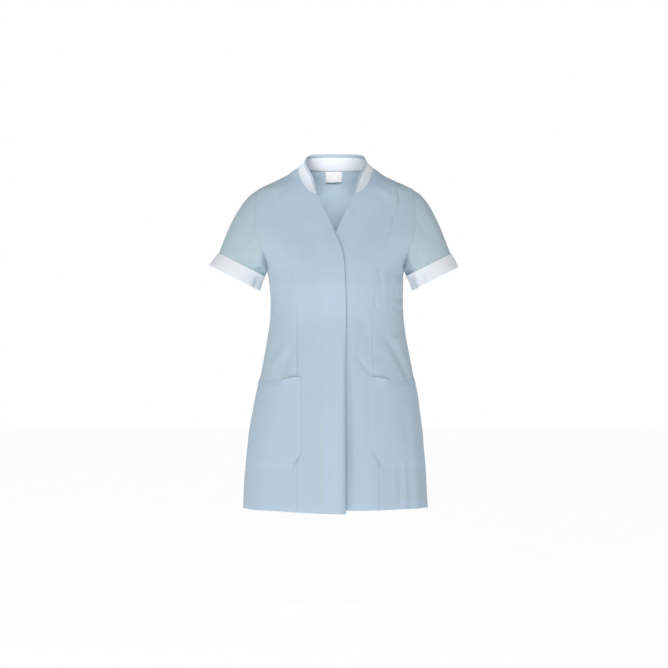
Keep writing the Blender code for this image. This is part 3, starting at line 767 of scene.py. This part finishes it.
# Light blue poly-cotton binding, woven a little finer and folded round the collar's edge. Its outer face
# takes a
# deeper, mottled tone towards the front: painted shade.
binding_cloth = woven_cloth("light_blue_binding", "#B6C4D0", "#ACBBC9", "#B6C4D0", 0.0006, 0.00010, 0.8)
# Woven polyester satin of the neck label: close white threads with a soft gloss.
label_satin = woven_cloth("white_label_satin", "#EFEEF1", "#E9E8EC", "#EFEEF1", 0.0004, 0.00004, 0.5)


def flecked(name, roughness, size, colour, pale):
    """A material in two close tones, in flecks of this size, and the socket that tells the flecks."""
    material, tree, shader = new_material(name, roughness)
    places = add_node(tree, "ShaderNodeTexCoord", output="Object")
    flecks = add_node(tree, "ShaderNodeTexNoise", inputs={"Vector": places, "Scale": 1 / size})
    colours = {0: flecks, 6: linear(colour), 7: linear(pale)}
    base = add_node(tree, "ShaderNodeMix", {"data_type": "RGBA"}, colours, 2)
    tree.links.new(base, shader.inputs["Base Color"])
    return material, tree, shader, flecks


# Twisted polyester sewing thread: slightly glossy, in the colour of its cloth, with 1 mm flecks.
blue_thread, *_ = flecked("light_blue_polyester_thread", 0.5, 0.001, "#B4CAD6", "#C4D6E0")
# Acetal, injection moulded: smooth and faintly glossy, with a grain of under 1 mm from the mould.
stud_plastic, tree, shader, grain = flecked("white_acetal", 0.4, 0.0007, "#E2E4E4", "#E9EAEA")
rough = add_node(tree, "ShaderNodeMapRange", inputs={0: grain, 3: 0.32, 4: 0.45})
tree.links.new(rough, shader.inputs["Roughness"])

# Body panels


def make_fronts():
    for name, edge_at, side, lift in (
        ("front_right", overlap_at, RIGHT, overlap_lift),
        ("front_left", underlap_at, LEFT, None),
    ):
        edges = front_edge(edge_at), princess_edge(side)
        points, heights = panel_points(*edges, side, FRONT_WIDTH, neck_seam, princess_seam(side), lift)
        make_panel(name, points, side, facing_layers(points, heights))
    for side, word in SIDES:
        edges = princess_edge(side), side_edge(-1)
        seams = princess_seam(side), armhole_seam
        points, heights = panel_points(*edges, side, SIDE_FRONT_WIDTH, *seams, tuck_at="last")
        make_panel(f"side_front_{word}", points, side, hem_layers(heights))


def make_back():
    """Two halves of one grid. They meet down the middle, and part where the neck opens."""
    edges = side_edge(1), back_middle()
    left, heights = panel_points(*edges, LEFT, HALF_BACK_WIDTH, armhole_seam, tuck_at="first")
    right, _ = panel_points(*edges, RIGHT, HALF_BACK_WIDTH, armhole_seam, tuck_at="first")
    points = np.concatenate([left, right[:, ::-1]], axis=1)
    heights = np.concatenate([heights, heights[:, ::-1]], axis=1)
    mesh, places = sheet_mesh(points)
    middle = left.shape[1] - 1
    gap = [face for face in mesh.faces if {places[v.index][1] for v in face.verts} == {middle, middle + 1}]
    give_layers(mesh, places, hem_layers(heights))
    bmesh.ops.delete(mesh, geom=gap, context="FACES_ONLY")
    bmesh.ops.remove_doubles(mesh, verts=mesh.verts, dist=1e-5)
    layered_piece("back", mesh)


make_fronts()
make_back()

# Sleeves and cuffs

# Rows of the sleeve, as shares of its length, close together beside the armhole seam
SLEEVE_ROWS = 44
SLEEVE_SHARES = np.append([0, 0.006, 0.014, 0.024], np.linspace(0, 1, SLEEVE_ROWS)[2:])
SLEEVE_LAYERS = 0.2  # the sleeves look a little denser than one layer on the hollow body
ARMHOLE_EASE = 0.012


def ring(sizes, turn, side):
    """A ring across the sleeve. Turn 0 is at the underarm, a quarter turn in front and half a turn on top."""
    across, height, half_width, half_depth = np.array(sizes) / 1000
    outward = -np.cos(turn) * half_width
    x = side * (across + outward * math.cos(SLEEVE_LEAN))
    return np.stack([x, -np.sin(turn) * half_depth, height + outward * math.sin(SLEEVE_LEAN)], -1)


def round_turns():
    """All round a sleeve: up its front and down its back."""
    return np.linspace(0, 2 * HALF_TURN, 2 * ARMHOLE_ROWS + 1)


def armhole_round():
    (front, heights), (back, _) = armhole(-1), armhole(1)
    return np.append(front, back[::-1][1:]), np.append(heights, heights[::-1][1:])


def sleeve_rows(side, turns):
    """Rows of smooth sleeve points from the armhole to the cuff seam."""
    armhole_turns, heights = armhole_round()
    starts, ends = body(side * armhole_turns, heights), ring(CUFF_SEAM[side], turns, side)
    mirror = np.array([side, 1, 1])
    down = ((1 + np.cos(turns)) / 2)[:, None]
    end_way = unit(END_DIRECTION)
    leaving = unit(CAP_DIRECTION * (1 - down) + end_way * down) * mirror
    reach = SLEEVE_FULLNESS * np.linalg.norm(ends - starts, axis=1)[:, None]
    rows = []
    for s in SLEEVE_SHARES:
        place = starts * (1 + 2 * s) * (1 - s) ** 2 + ends * (s * s * (3 - 2 * s))
        bend = leaving * (s * (1 - s) ** 2) + end_way * mirror * (s * s * (s - 1))
        rows.append(place + bend * reach)
    return np.array(rows)


def tube_normals(points):
    """Normals of a closed tube's grid, away from its middle line."""
    grid = np.concatenate([points[:, -2:-1], points, points[:, 1:2]], axis=1)
    up_it, round_it = np.gradient(grid, axis=(0, 1))
    normals = unit(np.cross(round_it, up_it)[:, 1:-1])
    middle = points.mean(axis=1, keepdims=True)
    return normals * np.sign(((points - middle) * normals).sum())


def make_sleeve(side, word):
    turns = round_turns()
    smooth = sleeve_rows(side, turns)
    past_top = np.arange(len(turns)) > ARMHOLE_ROWS
    right = np.broadcast_to((turns - 2 * HALF_TURN * past_top) * SLEEVE_RADIUS, smooth.shape[:2])
    up = np.broadcast_to((SLEEVE_SHARES * SLEEVE_LENGTH)[:, None], smooth.shape[:2])
    creases = []
    for turn_a, share_a, turn_b, share_b, bow, spread, depth in SLEEVE_CREASES[side]:
        start = math.radians(turn_a) * SLEEVE_RADIUS, share_a * SLEEVE_LENGTH
        end = math.radians(turn_b) * SLEEVE_RADIUS, share_b * SLEEVE_LENGTH
        creases.append((start, end, bow, spread / 1000, depth / 1000))
    along = run(smooth)
    near_armhole = ease(along / ARMHOLE_EASE)
    armhole_turns, heights = armhole_round()
    out = (crease_depth(creases, right, up) + unevenness(smooth)) * near_armhole
    out -= armhole_seam(along, heights) + seam_dip(along[-1] - along)
    points = smooth + tube_normals(smooth) * out[..., None]
    # The first ring lies on the body's own creased armhole edge
    edge, edge_normals = worn(side, armhole_turns, heights)
    edge = edge - edge_normals * armhole_seam(0.0, heights)[..., None]
    backwards = np.where(past_top, -1, 1)
    edge[:, 1] += backwards * tuck(side, 0.0, heights, 1.0)
    points[..., 1] += backwards * tuck(side, along, heights, TUCK_SPREAD[side])
    points += (1 - near_armhole)[..., None] * (edge - points[0])[None]
    mesh, places = sheet_mesh(points, closed=True, outward=-side)
    give_layers(mesh, places, np.full(points.shape[:2], SLEEVE_LAYERS))
    piece = finish_piece(f"sleeve_{word}", mesh, blue_cloth, f"sleeve_{word}")
    give_wall(piece, CLOTH)


# The cuff's section from its seam to its fold and back inside: share of the way, and how far it stands off
CUFF_SECTION = [
    (-0.045, 0), (-0.05, 0.001), (-0.03, 0.0018), (0, 0.002), (0.1, 0.0019), (0.35, 0.0022), (0.65, 0.002),
    (0.88, 0.0017), (0.97, 0.0013), (1, 0.0004), (0.99, -0.0008), (0.94, -0.0014), (0.6, -0.0014),
    (0.25, -0.0014), (0.04, -0.0012),
]
CUFF_WAVE = 0.0009
CUFF_WAVE_SIZE = 0.045
# Folds across the cuffs near the underarm: turn and spread in degrees, and depth
CUFF_FOLDS = {
    RIGHT: [(22, 25, -0.0135), (8, 8, 0.0012), (60, 9, -0.0016), (-30, 12, -0.0050), (-60, 10, -0.0016)],
    LEFT: [(18, 27, -0.0130), (46, 7, 0.0014), (62, 10, -0.0036), (-26, 12, -0.0050), (-62, 10, -0.0020)],
}
CUFF_FOLDS_FROM = -0.05
CUFF_FOLDS_OVER = 0.4


def make_cuff(side, word):
    """A turned-up cuff: one closed band with a rolled fold at the bottom."""
    turns = round_turns()
    seam, edge = ring(CUFF_SEAM[side], turns, side), ring(CUFF_EDGE[side], turns, side)
    middle = (seam[:-1].mean(0) + edge[:-1].mean(0)) / 2
    along = unit(edge.mean(0) - seam.mean(0))
    away = unit(seam - middle - np.outer((seam - middle) @ along, along))
    folds = sum(depth * bell(turn_from(turns, at), spread) for at, spread, depth in CUFF_FOLDS[side])
    rows = []
    for share, off in CUFF_SECTION + CUFF_SECTION[:1]:
        row = seam + share * (edge - seam) + away * off
        waves = CUFF_WAVE * np.array([noise.noise(Vector(p) / CUFF_WAVE_SIZE) for p in row])
        drawn = (waves + folds) * ease((share - CUFF_FOLDS_FROM) / CUFF_FOLDS_OVER)
        rows.append(row + away * drawn[:, None])
    points = np.array(rows)
    mesh, places = sheet_mesh(points, closed=True)
    give_layers(mesh, places, np.ones(points.shape[:2]))
    piece = finish_piece(f"cuff_{word}", mesh, white_cloth, f"cuff_{word}")
    turn_outwards(piece)
    soften(piece)


def turn_outwards(piece):
    """Turns the faces of a closed piece outwards."""
    mesh = bmesh.new()
    mesh.from_mesh(piece.data)
    bmesh.ops.recalc_face_normals(mesh, faces=mesh.faces)
    mesh.to_mesh(piece.data)
    mesh.free()


for side, word in SIDES:
    make_sleeve(side, word)
    make_cuff(side, word)

# Collar, its binding and the label

COLLAR_STEPS_BACK = 40
COLLAR_STEPS_FRONT = 30
LEVEL = np.array([1, 1, 0])
# The collar's section: share of the white part's height, and how far it stands out; then back down inside
COLLAR_SECTION = [
    (-0.02, 0.0006), (0.04, 0.0012), (0.15, 0.001), (0.4, 0.0012), (0.7, 0.0011), (0.95, 0.0008),
    (1.02, 0.0004), (1.02, -0.001), (0.95, -0.0013), (0.7, -0.0014), (0.4, -0.0014), (0.15, -0.0013),
    (0, -0.0012),
]
# The binding's section: share of its height, and how far it stands out
BINDING_SECTION = [
    (-0.06, 0.0004), (-0.02, 0.0013), (0.15, 0.0018), (0.5, 0.002), (0.85, 0.0018), (1, 0.0011), (1.07, 0),
    (1, -0.0011), (0.85, -0.0017), (0.5, -0.0019), (0.15, -0.0017), (-0.02, -0.0012), (-0.06, -0.0004),
]
LOW_ROW, MIDDLE_ROW, HIGH_ROW = 1, 3, 5
COLLAR_MIDDLE_WALL = 0.0010
COLLAR_THINS_BELOW = 0.012
# Painted shade: from this far in front of the shoulders, and over this distance, the outer face of the collar
# and its binding is painted in its darker single-layer tone
COLLAR_PAINTED_SHADE_FROM = 0.002
COLLAR_PAINTED_SHADE_OVER = 0.03


def collar_lines():
    """The collar's seam and its upper edge, from the right tip round the back to the left tip."""
    angles, heights = back_neck(COLLAR_STEPS_BACK)
    front_angles, front_heights = front_neck(COLLAR_STEPS_FRONT)
    angles = np.append(angles, front_angles[::-1][1:])
    heights = np.append(heights, front_heights[::-1][1:])
    half = body(angles, heights)
    along = run(half)
    upper = collar_edge_at(along / along[-1])
    mirror = np.array([-1, 1, 1])
    return [np.concatenate([(line * mirror)[1:][::-1], line]) for line in (half, upper)]


def collar_row(share_of_white, share_of_binding=0.0):
    seam, edge = collar_lines()
    height = np.linalg.norm(edge - seam, axis=1)
    white = 1 - np.minimum(BINDING_HEIGHT / height, BINDING_SHARE)
    share = white * share_of_white + (1 - white) * share_of_binding
    bulge = COLLAR_BULGE * height * np.sin(HALF_TURN * share)
    return seam + share[:, None] * (edge - seam) - unit(seam * LEVEL) * bulge[:, None], height


def collar_piece(name, section, material, along_binding):
    base, height = collar_row(0.0)
    top, _ = collar_row(1.0, 1.0)
    normal = unit(np.cross(np.gradient((base + top) / 2, axis=0), (top - base) / 2))
    thinned = np.minimum(height / COLLAR_THINS_BELOW, 1.0)[:, None]
    closed = section + section[:1]
    rows = []
    for share, off in closed:
        row, _ = collar_row(1.0, share) if along_binding else collar_row(share)
        outward = normal * np.sign((normal * unit(row * LEVEL)).sum(1))[:, None]
        rows.append(row + outward * (off * thinned - COLLAR_MIDDLE_WALL))
    points = np.array(rows)
    mesh, places = sheet_mesh(points)
    # Painted shade: towards the front the outer face is marked single, so that it takes the darker tone
    outside = np.array([off > 0 for _, off in closed])[:, None]
    painted_shade_at_front = ease((-points[..., 1] - COLLAR_PAINTED_SHADE_FROM) / COLLAR_PAINTED_SHADE_OVER)
    give_layers(mesh, places, 1 - outside * painted_shade_at_front)
    bmesh.ops.remove_doubles(mesh, verts=mesh.verts, dist=1e-6)
    ends = [edge for edge in mesh.edges if edge.is_boundary]
    bmesh.ops.holes_fill(mesh, edges=ends, sides=0)
    piece = finish_piece(name, mesh, material, name)
    turn_outwards(piece)
    soften(piece)
    return piece, points, steps(points[MIDDLE_ROW])


def make_collar():
    piece, points, widths = collar_piece("collar", COLLAR_SECTION, white_cloth, False)
    piece, _, widths = collar_piece("collar_binding", BINDING_SECTION, binding_cloth, True)


make_collar()

LABEL_WIDTH = 0.0400
LABEL_ROWS = 16
LABEL_COLUMNS = 20
LABEL_TOP = 0.0060
LABEL_BOTTOM = -0.0180
LABEL_ASIDE = 0.0040
LABEL_INSIDE = 0.0012
LABEL_HANGS_OFF = 0.0012
LABEL_THICKNESS = 0.0005
# Waves of its edges and of its loose end: height, and how fast they turn along a metre
LABEL_EDGE_WAVE = (0.0004, 160)
LABEL_CURL = (0.0005, 210)


def make_label():
    """A blank satin label, sewn in at the top and hanging a little loose below."""
    up = np.linspace(0, 1, LABEL_ROWS + 1)[:, None]
    across = np.linspace(LABEL_WIDTH / 2, -LABEL_WIDTH / 2, LABEL_COLUMNS + 1)[None]
    wave, wave_turns = LABEL_EDGE_WAVE
    heights = LABEL_BOTTOM + up * (LABEL_TOP - LABEL_BOTTOM) + wave * np.sin(across * wave_turns)
    angles = HALF_TURN - angle_at(across - LABEL_ASIDE + 0 * heights, heights)
    curl, curl_turns = LABEL_CURL
    inside = LABEL_INSIDE + LABEL_HANGS_OFF * ease(1 - up)
    inside = inside + curl * np.cos(across * curl_turns) * (1 - up) ** 2
    points, normals = worn(LEFT, angles, heights)
    points = points - normals * (CLOTH + inside)[..., None]
    mesh, _ = sheet_mesh(points)
    piece = finish_piece("neck_label", mesh, label_satin, "neck_label")
    give_wall(piece, LABEL_THICKNESS)


make_label()

# Pockets

POCKET_ROWS = 60
POCKET_HEM = 0.020
POCKET_WIDTH = 0.22
POCKET_HEIGHT = POCKET_TOP - POCKET_BOTTOM
POCKET_CUT_WIDTH = 0.024
POCKET_EDGE = 0.0004
# The pocket stands this much farther off inside its edges, and eases up from its sides and its bottom
POCKET_PUFF = 0.0010
PUFF_FROM_SIDES = 0.008
PUFF_FROM_BOTTOM = 0.030
# Beside the cut-off corner the edge comes a little loose
LOOSE_CORNER = 0.0020
LOOSE_CORNER_AT = 0.012
LOOSE_CORNER_SPREAD = 0.011
LOOSE_CORNER_HEIGHT = 0.012
# The mouth's hem is thicker, and past the gape it is pressed nearly flat on the front
POCKET_HEM_STEP = 0.0003
HEM_STEP_OVER = 0.004
PRESSED_FLAT = 0.85
PRESSED_BEFORE = 0.02
PRESSED_OVER = 0.03
POCKET_LAYERS, POCKET_HEM_LAYERS = 0.5, 0.25


def pocket_sides(heights, side):
    """Angles of a pocket's inner edge and of its outer edge at these heights."""
    front_at = overlap_at if side == RIGHT else underlap_at
    first, last = angle_at(front_at(heights), heights), angle_at(princess_across(side, heights), heights)
    mouth = np.array(POCKET_TOP)
    at_mouth = [angle_at(across, mouth) for across in (front_at(mouth), princess_across(side, mouth))]
    width = np.linalg.norm(np.diff(body(np.array(at_mouth), POCKET_TOP), axis=0))
    inner = first + (1 - POCKET_PAST_SEAM[side] / width) * (last - first)
    margin = POCKET_SIDE_MARGIN / section_at(heights)[..., 1]
    return inner, SIDE_SEAM - margin


def pocket_points(side):
    """The pocket lies on the fronts. Its inner lower corner is cut off and its mouth sags a little open."""
    across = shares_across(POCKET_WIDTH)[None]
    near = EDGE_STEPS / POCKET_HEIGHT
    rows = np.concatenate([near[:-1], np.linspace(near[-1], 1 - near[-1], POCKET_ROWS), 1 - near[-2::-1]])
    up = rows[:, None]
    inwards, above = across * POCKET_WIDTH, up * POCKET_HEIGHT
    cut = POCKET_CUT_CORNER * np.clip(1 - inwards / POCKET_CUT_WIDTH, 0, 1)
    sag = POCKET_SAG * np.sin(HALF_TURN * np.clip((across - POCKET_SAG_FROM) / (1 - POCKET_SAG_FROM), 0, 1))
    low, high = POCKET_BOTTOM + cut, POCKET_TOP - sag
    heights = low + up * (high - low)
    inner, outer = pocket_sides(heights, side)
    angles = inner + across * (outer - inner)

    past_start = inwards - POCKET_GAPE_FROM[side]
    in_gape = np.clip(past_start / POCKET_GAPE_WIDTH[side], 0, 1)
    gape = POCKET_GAPE * np.sin(HALF_TURN * in_gape) * up**POCKET_GAPE_HELD
    from_sides = np.minimum(inwards, POCKET_WIDTH - inwards) / PUFF_FROM_SIDES
    puff = POCKET_EDGE + POCKET_PUFF * ease(np.minimum(from_sides, above / PUFF_FROM_BOTTOM))
    loose_across = bell(inwards - LOOSE_CORNER_AT, LOOSE_CORNER_SPREAD)
    puff = puff + LOOSE_CORNER * loose_across * bell(above, LOOSE_CORNER_HEIGHT)
    in_hem = (up - 1) * POCKET_HEIGHT + POCKET_HEM
    hem_step = POCKET_HEM_STEP * ease(in_hem / HEM_STEP_OVER) - STITCH_DIP * bell(in_hem, STITCH_SPREAD)
    past_gape = ease((past_start - POCKET_GAPE_WIDTH[side] + PRESSED_BEFORE) / PRESSED_OVER)
    lies_flat = past_gape * ease((in_hem - HEM_STEP_OVER) / (POCKET_HEM - HEM_STEP_OVER))
    puff = puff - PRESSED_FLAT * (puff + hem_step) * lies_flat

    points, normals = worn(side, angles, heights)
    proud = puff + gape + hem_step
    if side == RIGHT:
        proud = proud + overlap_lift(points)
    layers = POCKET_LAYERS + POCKET_HEM_LAYERS * ease(in_hem / (2 * LAYER_BLUR)) + 0 * heights
    return points + normals * proud[..., None], layers, side * angles, heights, rows


for side, word in SIDES:
    points, layers, *_ = pocket_points(side)
    make_panel(f"pocket_{word}", points, side, layers)

# Stitching

STITCH = 0.0026
STITCH_SPACE = 0.0034
THREAD = 0.00042
THREAD_FLATNESS = 0.8
THREAD_RAISED = 0.3  # a stitch's middle stands this share of the thread's radius above the cloth
OVERLAP_SHOWS = math.radians(6)
FRONT_HEM_POINTS = 160
BACK_HEM_POINTS = 240


def even_places(line, space):
    """Places and directions at even steps along a line of points."""
    along = run(line)
    count = int(along[-1] / space)
    at = (np.arange(count) + 0.5) * along[-1] / max(count, 1)

    def place(where):
        return np.stack([np.interp(where, along, line[:, k]) for k in range(3)], -1)

    return place(at), unit(place(at + STITCH / 2) - place(at - STITCH / 2))


def sew(name, lines, material):
    """Small rounded stitches of thread, one after another along each line of points with normals."""
    mesh = bmesh.new()
    size = Matrix.Diagonal((THREAD, THREAD * THREAD_FLATNESS, STITCH / 2, 1))
    for line, normals in lines:
        places, ways = even_places(line, STITCH_SPACE)
        outs = normals[np.linspace(0, len(normals) - 1, max(len(places), 1)).astype(int)]
        for place, way, out in zip(places, ways, outs):
            side = unit(np.cross(way, out))
            turn = Matrix((side, np.cross(side, way), way)).transposed().to_4x4()
            at = Matrix.Translation(place) @ turn @ size
            bmesh.ops.create_icosphere(mesh, subdivisions=1, radius=1, matrix=at)
    for face in mesh.faces:
        face.smooth = True
    finish_piece(name, mesh, material)


def hem_stitches():
    """The hem's stitching, on the over front, the under front and the back."""
    starts = float(angle_at(overlap_at(HEM), np.array(HEM)))
    over = np.linspace(starts, SIDE_SEAM, FRONT_HEM_POINTS)
    under = np.linspace(OVERLAP_SHOWS, SIDE_SEAM, FRONT_HEM_POINTS)
    back = np.linspace(SIDE_SEAM, 3 * SIDE_SEAM, BACK_HEM_POINTS)
    lines = []
    for side, turns, lift in ((RIGHT, over, overlap_lift), (LEFT, under, None), (LEFT, back, None)):
        points, normals = worn(side, turns, np.full(len(turns), HEM + HEM_DEPTH))
        raised = THREAD * THREAD_RAISED + (lift(points) if lift else np.zeros(len(turns)))
        lines.append((points + normals * raised[:, None], normals))
    return lines


def pocket_stitches():
    """Stitching round each pocket and along the hem of its mouth."""
    inner, outer, low = 2, -3, 2
    lines = []
    for side, _ in SIDES:
        points, _, angles, heights, rows = pocket_points(side)
        normals = body_normal(angles, heights)
        points = points + normals * THREAD * THREAD_RAISED
        hem_row = int(np.searchsorted(rows, 1 - POCKET_HEM / POCKET_HEIGHT))
        upright, level = slice(low, None), slice(inner, outer)
        for sewn in ((upright, inner), (low, level), (upright, outer), (hem_row, level)):
            lines.append((points[sewn], normals[sewn]))
    return lines


sew("blue_topstitching", hem_stitches() + pocket_stitches(), blue_thread)

# What stays as solids

for name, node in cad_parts.items():
    if name.startswith("stud"):
        node.data.materials.clear()
        node.data.materials.append(stud_plastic)

# Floor, light and camera

PHOTO_SIZE = 668
PHOTO_SCALE = 0.00235
CAMERA_AWAY = 4.5
CAMERA_ACROSS = -0.0035
CAMERA_HEIGHT = -0.3807
SENSOR = 36.0
FLOOR_HEIGHT = -1.30
FLOOR_RADIUS = 14.0
FLOOR_GLOW = 0.53
ROOM_LIGHT = 0.48
KEY_PLACE = (-1.0, -3.9, 0.0)
KEY_AIM = (0, 0, -0.4)
KEY_POWER = 46
KEY_SIZE = 1.2
KEY_COLOUR = (1.0, 0.98, 0.955)
SNOOT_PLACE = (0.0, -1.25, 0.95)
SNOOT_AIM = (-0.016, 0.070, -0.038)
SNOOT_POWER = 175
SNOOT_RADIUS = 0.06
SNOOT_ANGLE = math.radians(5.2)


def make_floor():
    """A white acrylic sheet lit from below, so that it stays as bright as the backdrop."""
    mesh = bmesh.new()
    bmesh.ops.create_circle(mesh, cap_ends=True, segments=96, radius=FLOOR_RADIUS)
    bmesh.ops.translate(mesh, verts=mesh.verts, vec=(0, 0, FLOOR_HEIGHT))
    glow = {
        "Base Color": linear("#F4F4F4"),
        "Emission Color": linear("#FFFFFF"),
        "Emission Strength": FLOOR_GLOW,
    }
    material, _, _ = new_material("lit_white_acrylic", 0.6, glow)
    finish_mesh("floor", mesh, material)


def add_lamp(name, kind, power, place, aim):
    """A lamp that looks from its place at its aim."""
    lamp = bpy.data.lights.new(name, kind)
    lamp.energy = power
    light = add_object(name, lamp)
    light.location = place
    light.rotation_euler = (Vector(aim) - Vector(place)).to_track_quat("-Z", "Y").to_euler()
    return lamp


def make_lamps():
    """A square soft box in front, and a narrow soft lamp from above that looks into the neck."""
    key = add_lamp("key", "AREA", KEY_POWER, KEY_PLACE, KEY_AIM)
    key.size, key.color = KEY_SIZE, KEY_COLOUR
    snoot = add_lamp("snoot", "SPOT", SNOOT_POWER, SNOOT_PLACE, SNOOT_AIM)
    snoot.shadow_soft_size, snoot.spot_size, snoot.spot_blend = SNOOT_RADIUS, SNOOT_ANGLE, 1.0


def make_camera():
    lens = bpy.data.cameras.new("camera")
    lens.sensor_width = SENSOR
    lens.lens = SENSOR * CAMERA_AWAY / (PHOTO_SIZE * PHOTO_SCALE)
    camera = add_object("camera", lens)
    camera.location = (CAMERA_ACROSS, -CAMERA_AWAY, CAMERA_HEIGHT)
    camera.rotation_euler = (math.pi / 2, 0, 0)
    bpy.context.scene.camera = camera


def make_world():
    """A pure white backdrop to the camera, with the studio's own softer light from all round."""
    world = bpy.data.worlds.new("white studio")
    world.use_nodes = True
    tree = world.node_tree
    seen = add_node(tree, "ShaderNodeLightPath", output="Is Camera Ray")
    strength = add_node(tree, "ShaderNodeMapRange", inputs={0: seen, 3: ROOM_LIGHT, 4: 1.0})
    background = tree.nodes["Background"]
    background.inputs["Color"].default_value = linear("#FFFFFF")
    tree.links.new(strength, background.inputs["Strength"])
    bpy.context.scene.world = world


make_floor()
make_world()
make_lamps()
make_camera()
bpy.context.scene.view_settings.view_transform = "Standard"
